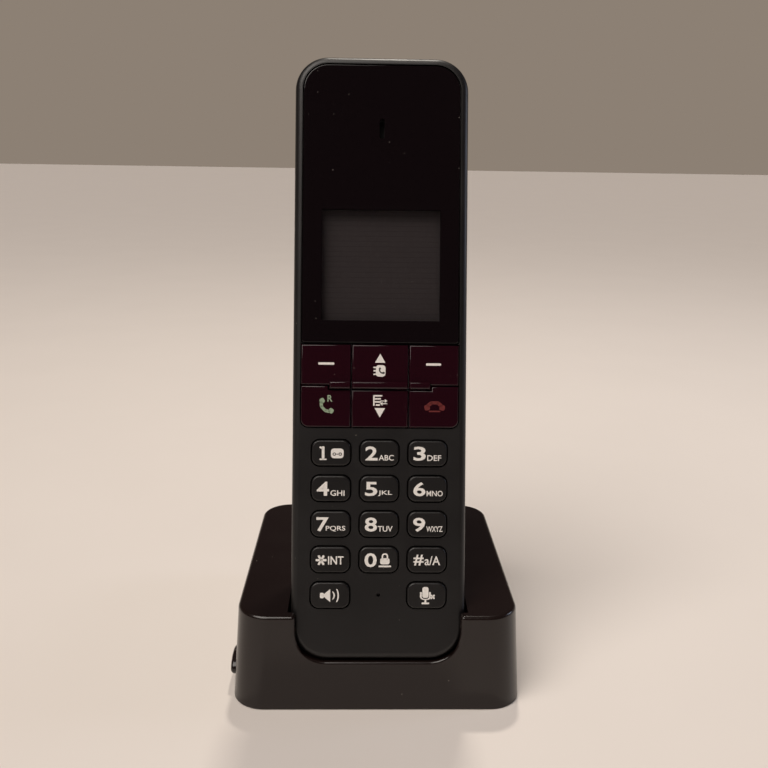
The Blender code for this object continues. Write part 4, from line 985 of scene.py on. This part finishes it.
# Signs in mm from a key's middle, in the order they are joined. A text has words, place, height,
# width, boldness, and True if it is set about its middle, False from its lower left corner. A bar
# has place, width, height and turn in degrees.
SIGNS = {
    "speaker_key": (
        ("\u25C0", -1.0, 0.0, 3.6, 2.2, 0.0, True), (")", 1.0, 0.0, 2.2, 0.8, 0.03, True),
        (")", 2.1, 0.0, 3.6, 0.8, 0.03, True), (-2.2, 0.0, 1.1, 1.5, 0)),
    "mute_key": (
        ("U", -0.3, -0.1, 2.2, 3.0, 0.0, True), (-0.3, 0.9, 1.7, 3.0, 0),
        (-0.3, -1.5, 0.5, 0.9, 0), (-0.3, -2.1, 2.1, 0.5, 0),
        (1.7, -0.3, 1.5, 0.45, 45), (1.7, -0.3, 1.5, 0.45, -45)),
    "key_1": ((-2.2, 0.0, 0.75, 3.7, 0), (-2.7, 1.4, 1.1, 0.5, 30), (-2.2, -1.75, 1.9, 0.42, 0)),
    "key_0": (
        ("0", -3.9, -2.0, 3.9, 3.4, 0.02, False), ("\u2229", 1.75, 0.9, 1.9, 1.8, 0.04, True),
        (1.75, -0.35, 2.6, 1.7, 0), (1.75, -1.75, 3.5, 0.45, 0)),
    "key_star": (
        *[(-2.5, -0.1, 3.0, 0.6, turn) for turn in (0, 60, -60)],
        ("INT", -0.6, -1.3, 2.3, 4.3, 0.015, False)),
    "key_hash": (
        ("#", -3.7, -1.5, 3.0, 2.8, 0.02, False), ("a/A", -0.6, -1.4, 2.5, 4.3, 0.01, False)),
}
for digit, letters, left, width in (
        ("2", "ABC", -0.2, 4.2), ("3", "DEF", -0.1, 3.9), ("4", "GHI", -0.1, 3.9),
        ("5", "JKL", -0.3, 3.9), ("6", "MNO", -0.2, 4.5), ("7", "PQRS", -1.3, 5.4),
        ("8", "TUV", -0.3, 4.1), ("9", "WXYZ", -0.2, 4.5)):
    SIGNS["key_" + digit] = (
        (digit, -3.9, -2.0, 3.9, 3.4, 0.02, False),
        (letters, left, -2.0, 1.55, width, 0.012, False))
UNDER = 0.008 * MM                   # a patch of ink lies this much under the sign on it


def tape_sign(x, z, face):
    """The answering machine's sign: two dark reels on a white patch."""
    patch = bar(x + 1.7 * MM, z - 0.1 * MM, 3.5 * MM, 2.7 * MM, white_ink, face + UNDER)
    reels = printed("o-o", x + 1.7 * MM, z - 0.3 * MM, 0.9 * MM, dark_ink, face,
                    2.6 * MM, 0.02, True)
    return [patch, reels]


def key_print(name, x, z):
    """The signs of one small key, about its middle."""
    face = -KEY_RISE
    parts = tape_sign(x, z, face) if name == "key_1" else []
    for row in SIGNS[name]:
        if isinstance(row[0], str):
            words, right, up, tall, wide, bold, about_middle = row
            parts.append(printed(words, x + right * MM, z + up * MM, tall * MM, white_ink, face,
                                 wide * MM, bold, about_middle))
        else:
            right, up, wide, tall, turn = row
            parts.append(bar(x + right * MM, z + up * MM, wide * MM, tall * MM, white_ink, face,
                             turn))
    return parts


five = centre_of("key_5")
keys = {"key_5": master}
for name in SMALL_KEYS:
    if name != "key_5":
        spot = centre_of(name)
        keys[name] = duplicate(master, name, (spot.x - five.x, 0.0, spot.z - five.z))
for name in SMALL_KEYS:
    spot = centre_of(name)
    key = join("cap_" + name, [keys[name]] + key_print(name, spot.x, spot.z))
    place(key, name, "matt_key", key_lacquer, name)
print("small keys:", len(keys), "of", len(keys["key_5"].data.polygons), "faces")

# %% [markdown]
# ## The six glossy keys
# Two rows of three fill one opening with seams of 0.35 mm. A ridge runs along the foot of the
# upper row, and there the row reaches a millimetre further down, so the lower row has a notch for
# it. Every key is a block with that step joined on or cut away, and a small radius all round.

# %% Glossy keys
SEAM = 0.35 * MM
MIDDLE_HALF = 7.95 * MM
RIDGE_HALF = 14.0 * MM
RIDGE_DROP = 0.95 * MM
RIDGE_TALL = 2.05 * MM
RIDGE_RISE = 0.9 * MM
RIDGE_EDGE = 0.5 * MM
GLOSS_EDGE = 0.35 * MM
FLANGE_PLAY = 0.15 * MM
UPPER_ROW = 11.25 * MM               # cluster's top to the seam between the rows
CLUSTER_TOP_FACE = INK - CLUSTER_RISE
seam_z = cluster_top - UPPER_ROW
outer_x = lens_high.x


def across(column, inner, outer):
    """Left and right end of a span given from the middle outwards; both ways for column 0."""
    if column == 0:
        return -inner, inner
    return (inner, outer) if column > 0 else (-outer, -inner)


def glossy_key(name, column, upper):
    """One key of the cluster, with its flange and, in the upper row, its part of the ridge."""
    inner = MIDDLE_HALF + SEAM / 2 if column else MIDDLE_HALF - SEAM / 2
    left, right = across(column, inner, outer_x)
    step_left, step_right = across(column, inner, RIDGE_HALF)
    shelf = seam_z - RIDGE_DROP
    back = FLANGE_FRONT + 0.1 * MM
    front = CLUSTER_TOP_FACE
    if upper:
        made = block(name, (left, front, seam_z + SEAM / 2), (right, back, cluster_top))
        step = block("step", (step_left, front, shelf), (step_right, back, seam_z + 2 * MM))
        carve(made, step, "UNION")
        flange_z = (seam_z + SEAM, cluster_top + KEY_FLANGE)
    else:
        made = block(name, (left, front, cluster_low), (right, back, seam_z - SEAM / 2))
        notch_left, notch_right = left - MM, right + MM
        if column:
            notch_left, notch_right = across(column, inner - MM, RIDGE_HALF + SEAM)
        notch = block("notch", (notch_left, -3 * MM, shelf - SEAM),
                      (notch_right, 5 * MM, seam_z + MM))
        carve(made, notch)
        flange_z = (cluster_low - KEY_FLANGE, shelf - 2 * SEAM)
        if column:
            deep = along(1)
            corner = lambda edge: (
                deep(edge)
                and abs(abs(edge.verts[0].co.x) - outer_x) < 0.1 * MM
                and abs(edge.verts[0].co.z - cluster_low) < 0.1 * MM
            )
            bevel_edges(made, corner, CLUSTER_ROUND, 8)
    bevel_edges(made, on_plane(1, front), GLOSS_EDGE, 4)
    play = FLANGE_PLAY if column else -FLANGE_PLAY
    flange_left, flange_right = across(column, inner + play, outer_x + KEY_FLANGE)
    carve(made, block("flange", (flange_left, FLANGE_FRONT, flange_z[0]),
                      (flange_right, FLANGE_BACK, flange_z[1])), "UNION")
    if upper:
        ridge_front = INK - CLUSTER_RISE - RIDGE_RISE
        ridge = block("ridge", (step_left + INK, ridge_front, shelf + INK),
                      (step_right - INK, 0.0, shelf + INK + RIDGE_TALL))
        bevel_edges(ridge, on_plane(1, ridge_front), RIDGE_EDGE, 5)
        carve(made, ridge, "UNION")
    made.data.materials.append(wine_acrylic)
    return made


def cluster_print(name):
    """The signs of one glossy key."""
    face = -CLUSTER_RISE
    if name == "soft_key_left":
        return [bar(-14.9 * MM, seam_z + 6.0 * MM, 4.4 * MM, 0.65 * MM, white_ink, face)]
    if name == "soft_key_right":
        return [bar(14.8 * MM, seam_z + 6.0 * MM, 4.2 * MM, 0.65 * MM, white_ink, face)]
    if name == "nav_up_key":
        book = [bar(0.15 * MM, seam_z + 4.1 * MM, 2.7 * MM, 3.2 * MM, white_ink, face + UNDER)]
        book += receiver(0.3 * MM, seam_z + 4.0 * MM, 2.2 * MM, dark_ink, face, 228)
        tabs = [bar(-1.45 * MM, seam_z + (4.1 + rise) * MM, 0.8 * MM, 0.4 * MM, white_ink, face)
                for rise in (-0.95, 0.0, 0.95)]
        arrow = [printed("▲", 0.0, seam_z + 7.6 * MM, 2.5 * MM, white_ink, face,
                         2.9 * MM, 0.0, True)]
        return book + tabs + arrow
    if name == "nav_down_key":
        lines = [bar(-0.55 * MM, seam_z - (2.8 + drop) * MM, wide * MM, 0.42 * MM, white_ink, face)
                 for drop, wide in ((0.0, 2.4), (0.85, 1.7), (1.7, 1.7), (2.55, 1.2))]
        spine = [bar(-1.65 * MM, seam_z - 4.1 * MM, 0.42 * MM, 3.0 * MM, white_ink, face)]
        swap = [printed("⇄", 1.05 * MM, seam_z - 4.6 * MM, 1.7 * MM, white_ink, face,
                        2.1 * MM, 0.03, True)]
        arrow = [printed("▼", 0.0, seam_z - 7.5 * MM, 2.6 * MM, white_ink, face,
                         2.9 * MM, 0.0, True)]
        return lines + spine + swap + arrow
    if name == "talk_key":
        recall = [printed("R", -14.5 * MM, seam_z - 4.5 * MM, 1.8 * MM, green_ink, face,
                          1.4 * MM, 0.02)]
        return receiver(-15.1 * MM, seam_z - 6.0 * MM, 5.2 * MM, green_ink, face, 228) + recall
    line = [bar(15.2 * MM, seam_z - 7.0 * MM, 3.2 * MM, 0.4 * MM, red_ink, face)]
    return receiver(15.2 * MM, seam_z - 5.4 * MM, 5.8 * MM, red_ink, face) + line


for names, upper in ((UPPER_KEYS, True), (LOWER_KEYS, False)):
    for column, name in zip((-1, 0, 1), names):
        key = join("cap_" + name, [glossy_key(name + "_cap", column, upper)] + cluster_print(name))
        place(key, name, "gloss_key", wine_acrylic, name)
print("glossy keys:", len(UPPER_KEYS + LOWER_KEYS))

# %% [markdown]
# ## The window
# A plate of black acrylic 1.1 mm thick, polished, with a quarter-millimetre edge that draws a
# bright line round it. It is printed black from behind except over the display, where it stays
# clear but dark. So it is made of two solids: the black plate with an opening, and the smoky pane
# that fills it. Lint shows on such a surface, and it is drawn as a few pale specks.

# %% Window
POLISH = ((6.0, 0.004), (0.06, 0.02), (2.2, 0.11, 0.30), "#9a948e")
piano_black = moulded_finish("piano_black", "#0e080a", 1.49, *POLISH)[0]
smoky_pane, tree, shader, coords = moulded_finish("smoky_pane", "#0c090a", 1.49, *POLISH)
shader.inputs["Alpha"].default_value = 0.3

LENS_EDGE = 0.25 * MM
OPENING_BACK = 3.0 * MM              # well behind the plate
PANE_GAP = 0.02 * MM
PANE_ROUND = 0.1 * MM
window = lens_block("window_plate", 0.0, 0.0, lens_high.y)
bevel_edges(window, on_plane(1, 0.0), LENS_EDGE, 3)
carve(window, ear_block("ear_slot", -MM, lens_high.y + MM))
carve(window, block("opening", (display_low.x, -MM, display_low.z),
                    (display_high.x, OPENING_BACK, display_high.z)))
window.data.materials.append(piano_black)
pane = rounded_block(
    "pane", (display_low.x + PANE_GAP, 0.0, display_low.z + PANE_GAP),
    (display_high.x - PANE_GAP, lens_high.y, display_high.z - PANE_GAP), PANE_ROUND, PANE_ROUND, 2)
pane.data.materials.append(smoky_pane)
window = join("window_plate", [window, pane])
place(window, "handset", "gloss_window", piano_black, "display_window")
print("window:", len(window.data.polygons), "faces")

# %% [markdown]
# ## The display
# A liquid crystal cell is two plates of glass with a film on the front one. Switched off it is a
# flat dark grey. Its grid of electrodes is just visible as fine squares 0.4 mm apart.

# %% Display
GLASS_EDGE = 0.15 * MM
FILM_MARGIN = 1.4 * MM
FILM_DEPTH = 0.08 * MM
CELL_GREY = "#686162"
off_glass, tree, shader = new_finish("display_off", CELL_GREY, 0.25, 1.52)
coords = own_place(tree)
squares = node(tree, "ShaderNodeTexBrick", {"offset": 0.0, "squash": 1.0}, {
    "Vector": coords, "Scale": per_metre(1.0), "Mortar Size": 0.02, "Brick Width": 0.4,
    "Row Height": 0.4, "Color1": linear(CELL_GREY), "Color2": linear("#645d5e"),
    "Mortar": linear("#585253")})
tree.links.new(squares.outputs["Color"], shader.inputs["Base Color"])

panel = block("display_cell", lcd_low, lcd_high)
bevel_edges(panel, lambda edge: True, GLASS_EDGE, 2)
front = lambda face: face.normal.y < -0.99 and face.calc_area() > (5 * MM) ** 2
pick_faces(panel, front)
bpy.ops.mesh.inset(thickness=FILM_MARGIN)
close_edit()
pick_faces(panel, lambda face: front(face) and abs(face.calc_center_median().x) < 5 * MM)
bpy.ops.transform.translate(value=(0.0, FILM_DEPTH, 0.0))
close_edit()
place(panel, "handset", "display_glass", off_glass, "lcd_module")
print("display:", len(panel.data.polygons), "faces")

# %% [markdown]
# ## The locate key
# An oval key in the left wall makes the handset ring when it is lost. It is domed, so that a
# finger finds it, and a flange behind the wall keeps it in.

# %% Locate key
DOME = 0.9 * MM
FLANGE_THICK = 0.8 * MM
locate = oval("locate_key", page_low.x, page_high.x - FLANGE_THICK / 2,
              page_long, page_tall, page_middle)
bevel_edges(locate, on_plane(0, page_low.x), DOME, 6)
flange = oval("flange", page_high.x - FLANGE_THICK, page_high.x,
              page_long + PAGE_FLANGE, page_tall + PAGE_FLANGE, page_middle)
carve(locate, flange, "UNION")
place(locate, "page_key", "base_plastic", satin_abs, "page_key", upright=False)
print("locate key:", len(locate.data.polygons), "faces")

# %% [markdown]
# ## Screws
# Eight steel screws hold the cases, each with a pan head and a cross recess. Their heads and
# lengths differ, so one function builds each to the size of its CAD node: a rounded head, a shank
# and a tip joined on, and the cross cut in. Zinc plating is a grey metal with a faint cloudiness.

# %% Screws
zinc, tree, shader = new_finish("zinc_plate", "#b9bbbb", 0.32, metallic=1.0)
moulded_grain(tree, shader, 0.8, 0.004, 0.32, 0.08)

HEAD_THICK = 1.4 * MM
SHANK_RADIUS = 1.15 * MM
TIP_RADIUS = 0.4 * MM
TIP_LONG = 0.8 * MM
CROSS_DEPTH = 0.9 * MM
CROSS_LONG = 1.3 * MM                # half the cross, and half the width of its arms
CROSS_WIDE = 0.28 * MM


def screw(name, spot, head, end, head_radius):
    """A pan-head screw along +Z from the outside of its head to its end."""
    neck = head + HEAD_THICK
    made = rod(name, (spot.x, spot.y, head), (spot.x, spot.y, neck), head_radius, 40)
    bevel_edges(made, on_plane(2, head), HEAD_THICK * 0.35, 4)
    shank_end = end - TIP_LONG
    carve(made, rod("shank", (spot.x, spot.y, neck - 0.1 * MM), (spot.x, spot.y, shank_end),
                    SHANK_RADIUS, 24), "UNION")
    carve(made, rod("tip", (spot.x, spot.y, shank_end - 0.01 * MM), (spot.x, spot.y, end),
                    SHANK_RADIUS, 24, TIP_RADIUS), "UNION")
    for long, wide in ((CROSS_LONG, CROSS_WIDE), (CROSS_WIDE, CROSS_LONG)):
        carve(made, block("cross", (spot.x - long, spot.y - wide, head - MM),
                          (spot.x + long, spot.y + wide, head + CROSS_DEPTH)))
    return made


for corner in CORNERS:
    name = "base_screw_" + corner
    low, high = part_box(name)
    made = screw("screw_" + corner, (low + high) / 2, low.z, high.z, (high.x - low.x) / 2)
    place(made, "base", "sheet_metal", zinc, name, upright=False)
for corner in HANDSET_CORNERS:
    name = "handset_screw_" + corner
    low, high = upright_box(name)
    made = screw("screw_" + corner, Vector(), 0.0, high.y - low.y, (high.x - low.x) / 2)
    made.matrix_world = (
        Matrix.Translation(((low.x + high.x) / 2, high.y, (low.z + high.z) / 2))
        @ Matrix.Rotation(math.radians(90), 4, "X")
    )
    bpy.ops.object.transform_apply(location=True, rotation=True, scale=True)
    place(made, "handset", "sheet_metal", zinc, name)
print("screws:", len(CORNERS + HANDSET_CORNERS))

# %% [markdown]
# ## Finishes of the parts that stay as in the frame
# Feet, sockets, boards, contacts and cells keep their CAD shape. Each gets what it is made of:
# soft rubber, glass-filled nylon, green laminate with its copper tracks, nickel and tin plate,
# silicone, and the printed sleeve of a rechargeable cell.

# %% Finishes of the carried nodes
rubber = moulded_finish("foot_rubber", "#191919", 1.45, (0.4, 0.02), (0.75, 0.06))[0]
nylon = moulded_finish("glass_filled_nylon", "#1b1b1d", 1.53, (0.5, 0.015), (0.45, 0.08))[0]
silicone, tree, shader, coords = moulded_finish(
    "keypad_silicone", "#85868a", 1.41, (1.2, 0.02), (0.6, 0.05))
shader.inputs["Subsurface Weight"].default_value = 0.1

BOARD_GREEN = "#1c5a34"
laminate, tree, shader, coords = moulded_finish(
    "green_laminate", BOARD_GREEN, 1.5, (0.2, 0.01), (0.35, 0.05))
tracks = node(tree, "ShaderNodeTexBrick", inputs={
    "Vector": coords, "Scale": per_metre(1.0), "Brick Width": 6.0, "Row Height": 1.2,
    "Mortar Size": 0.12, "Color1": linear(BOARD_GREEN), "Color2": linear("#1f6239"),
    "Mortar": linear("#3f8a4e")})
tree.links.new(tracks.outputs["Color"], shader.inputs["Base Color"])


def drawn_metal(name, hex_colour, roughness, grain_mm):
    """Rolled sheet: a grain stretched along one way, seen as fine streaks of gloss."""
    made, tree, shader = new_finish(name, hex_colour, roughness, metallic=1.0)
    stretch = node(tree, "ShaderNodeMapping", inputs={
        "Vector": own_place(tree), "Scale": (1.0, 1.0, 0.08)})
    streaks = node(tree, "ShaderNodeTexNoise", inputs={
        "Vector": stretch.outputs["Vector"], "Scale": per_metre(grain_mm), "Detail": 3.0})
    gloss = node(tree, "ShaderNodeMapRange", inputs={
        "Value": streaks.outputs["Fac"], "To Min": roughness - 0.1, "To Max": roughness + 0.12})
    tree.links.new(gloss.outputs["Result"], shader.inputs["Roughness"])
    return made


dust_cloth, tree, shader = new_finish("dust_cloth", "#121212", 0.9, 1.4)
coords = own_place(tree)
threads = node(tree, "ShaderNodeTexWave", {"bands_direction": "X"}, {
    "Vector": coords, "Scale": per_metre(1.6), "Distortion": 0.5})
weave = node(tree, "ShaderNodeBump", inputs={
    "Height": threads.outputs["Fac"], "Distance": 0.05 * MM, "Strength": 0.7})
tree.links.new(weave.outputs["Normal"], shader.inputs["Normal"])

tin_plate = drawn_metal("tin_plate", "#b4b5b2", 0.34, 0.25)
nickel = drawn_metal("nickel_contact", "#d0c8b4", 0.24, 0.15)

CELL_GREEN = "#2f7d45"
sleeve, tree, shader, coords = moulded_finish(
    "cell_sleeve", CELL_GREEN, 1.5, (1.5, 0.01), (0.3, 0.05))
height_along = node(tree, "ShaderNodeVectorMath", {"operation": "DOT_PRODUCT"}, {
    0: coords, 1: tuple(lift["axis"])})
BAND_START = Vector((0, 13 * MM, 82 * MM))       # upright, on the cells' middle plane
band = node(tree, "ShaderNodeMath", {"operation": "GREATER_THAN"}, {
    0: height_along.outputs["Value"], 1: (TO_SEAT @ BAND_START).dot(Vector(lift["axis"]))})
bands = node(tree, "ShaderNodeMix", {"data_type": "RGBA"}, {
    "Factor": band.outputs[0], 6: linear(CELL_GREEN), 7: linear("#e9e6dc")})
tree.links.new(bands.outputs[2], shader.inputs["Base Color"])

CARRIED = {
    satin_abs: ("base_bottom_plate",),
    rubber: tuple("foot_" + corner for corner in CORNERS),
    nylon: ("line_jack", "power_jack", "lcd_frame"),
    silicone: ("keypad_mat",),
    laminate: ("handset_circuit_board", "base_circuit_board"),
    tin_plate: ("radio_shield", "ringer_speaker", "microphone"),
    dust_cloth: ("earpiece_speaker",),
    nickel: ("battery_spring_left", "battery_spring_right", "battery_plate_left",
             "battery_plate_right", "handset_contact_left", "handset_contact_right",
             "charge_pin_left", "charge_pin_right"),
    sleeve: ("battery_cell_left", "battery_cell_right"),
}
count = 0
for finish, names in CARRIED.items():
    for name in names:
        thing = frame["nodes"][name]
        if not thing.material_slots:
            thing.data.materials.append(finish)
        for slot in thing.material_slots:
            slot.material = finish
        count += 1
print("carried nodes painted:", count)

# %% [markdown]
# ## Floor and light
# A plain pale floor, an even soft sun from the front and left, a small panel overhead that draws
# the bright lines on the upper edges, and a weak cool one at the right. The room itself is a
# gradient: pale behind the object, dim in front and above, so that the polished faces stay dark.
# None of this belongs to the object.

# %% Studio
floor_finish, tree, shader = new_finish("pale_floor", "#e6dfd8", 0.5, 1.4)
haze = node(tree, "ShaderNodeTexNoise", inputs={
    "Vector": own_place(tree), "Scale": per_metre(60.0), "Detail": 3.0})
tone = node(tree, "ShaderNodeMix", {"data_type": "RGBA"}, {
    "Factor": haze.outputs["Fac"], 6: linear("#e4ddd6"), 7: linear("#e8e1da")})
tree.links.new(tone.outputs[2], shader.inputs["Base Color"])
bpy.ops.object.select_all(action="DESELECT")
bpy.ops.mesh.primitive_plane_add(size=8.0, location=(0, 0, 0))
floor = bpy.context.object
floor.name = "studio_floor"
floor.data.materials.append(floor_finish)
floor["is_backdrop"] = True


def lamp(name, kind, spot, power, colour, size):
    """A lamp at a spot, aimed at the object; size is metres, or degrees for a sun."""
    bpy.ops.object.light_add(type=kind, location=spot)
    made = bpy.context.object
    made.name = name
    made.data.energy = power
    made.data.color = linear(colour)[:3]
    if kind == "SUN":
        made.data.angle = math.radians(size)
    else:
        made.data.size = size
    aim = Vector((0, 0, 0.08)) - Vector(spot)
    made.rotation_euler = aim.to_track_quat("-Z", "Y").to_euler()
    return made


lamp("soft_sun", "SUN", (-0.45, -0.55, 1.1), 2.5, "#fff6ee", 45.0)
lamp("top_panel", "AREA", (0.03, 0.27, 0.75), 1.9, "#fff6ea", 0.04)
lamp("cool_panel", "AREA", (0.80, 0.10, 0.35), 0.9, "#dfe8ff", 0.25)

PALE_ROOM = "#978a7d"
DIM_ROOM = "#3b3335"
world = bpy.data.worlds.new("studio_world")
bpy.context.scene.world = world
world.use_nodes = True
tree = world.node_tree
way = node(tree, "ShaderNodeSeparateXYZ", inputs={
    "Vector": node(tree, "ShaderNodeTexCoord").outputs["Generated"]})
low_down = node(tree, "ShaderNodeMapRange", {"interpolation_type": "SMOOTHSTEP"}, {
    "Value": way.outputs["Z"], "From Min": 0.34, "From Max": 0.16})
behind = node(tree, "ShaderNodeMapRange", {"interpolation_type": "SMOOTHSTEP"}, {
    "Value": way.outputs["Y"], "From Min": -0.2, "From Max": 0.5})
pale = node(tree, "ShaderNodeMath", {"operation": "MULTIPLY"}, {
    0: low_down.outputs["Result"], 1: behind.outputs["Result"]})
room = node(tree, "ShaderNodeMix", {"data_type": "RGBA"}, {
    "Factor": pale.outputs[0], 6: linear(DIM_ROOM), 7: linear(PALE_ROOM)})
sky = tree.nodes["Background"]
tree.links.new(room.outputs[2], sky.inputs["Color"])
sky.inputs["Strength"].default_value = 0.85
bpy.context.scene.view_settings.view_transform = "Standard"
print("studio ready")

# %% Sizes of the frame and of the scene, and the count of pieces
sizes = {
    "cad": [list(corner) for corner in cad_bounds],
    "visual": [list(corner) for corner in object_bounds()],
}
print("pieces:", len(made_pieces))
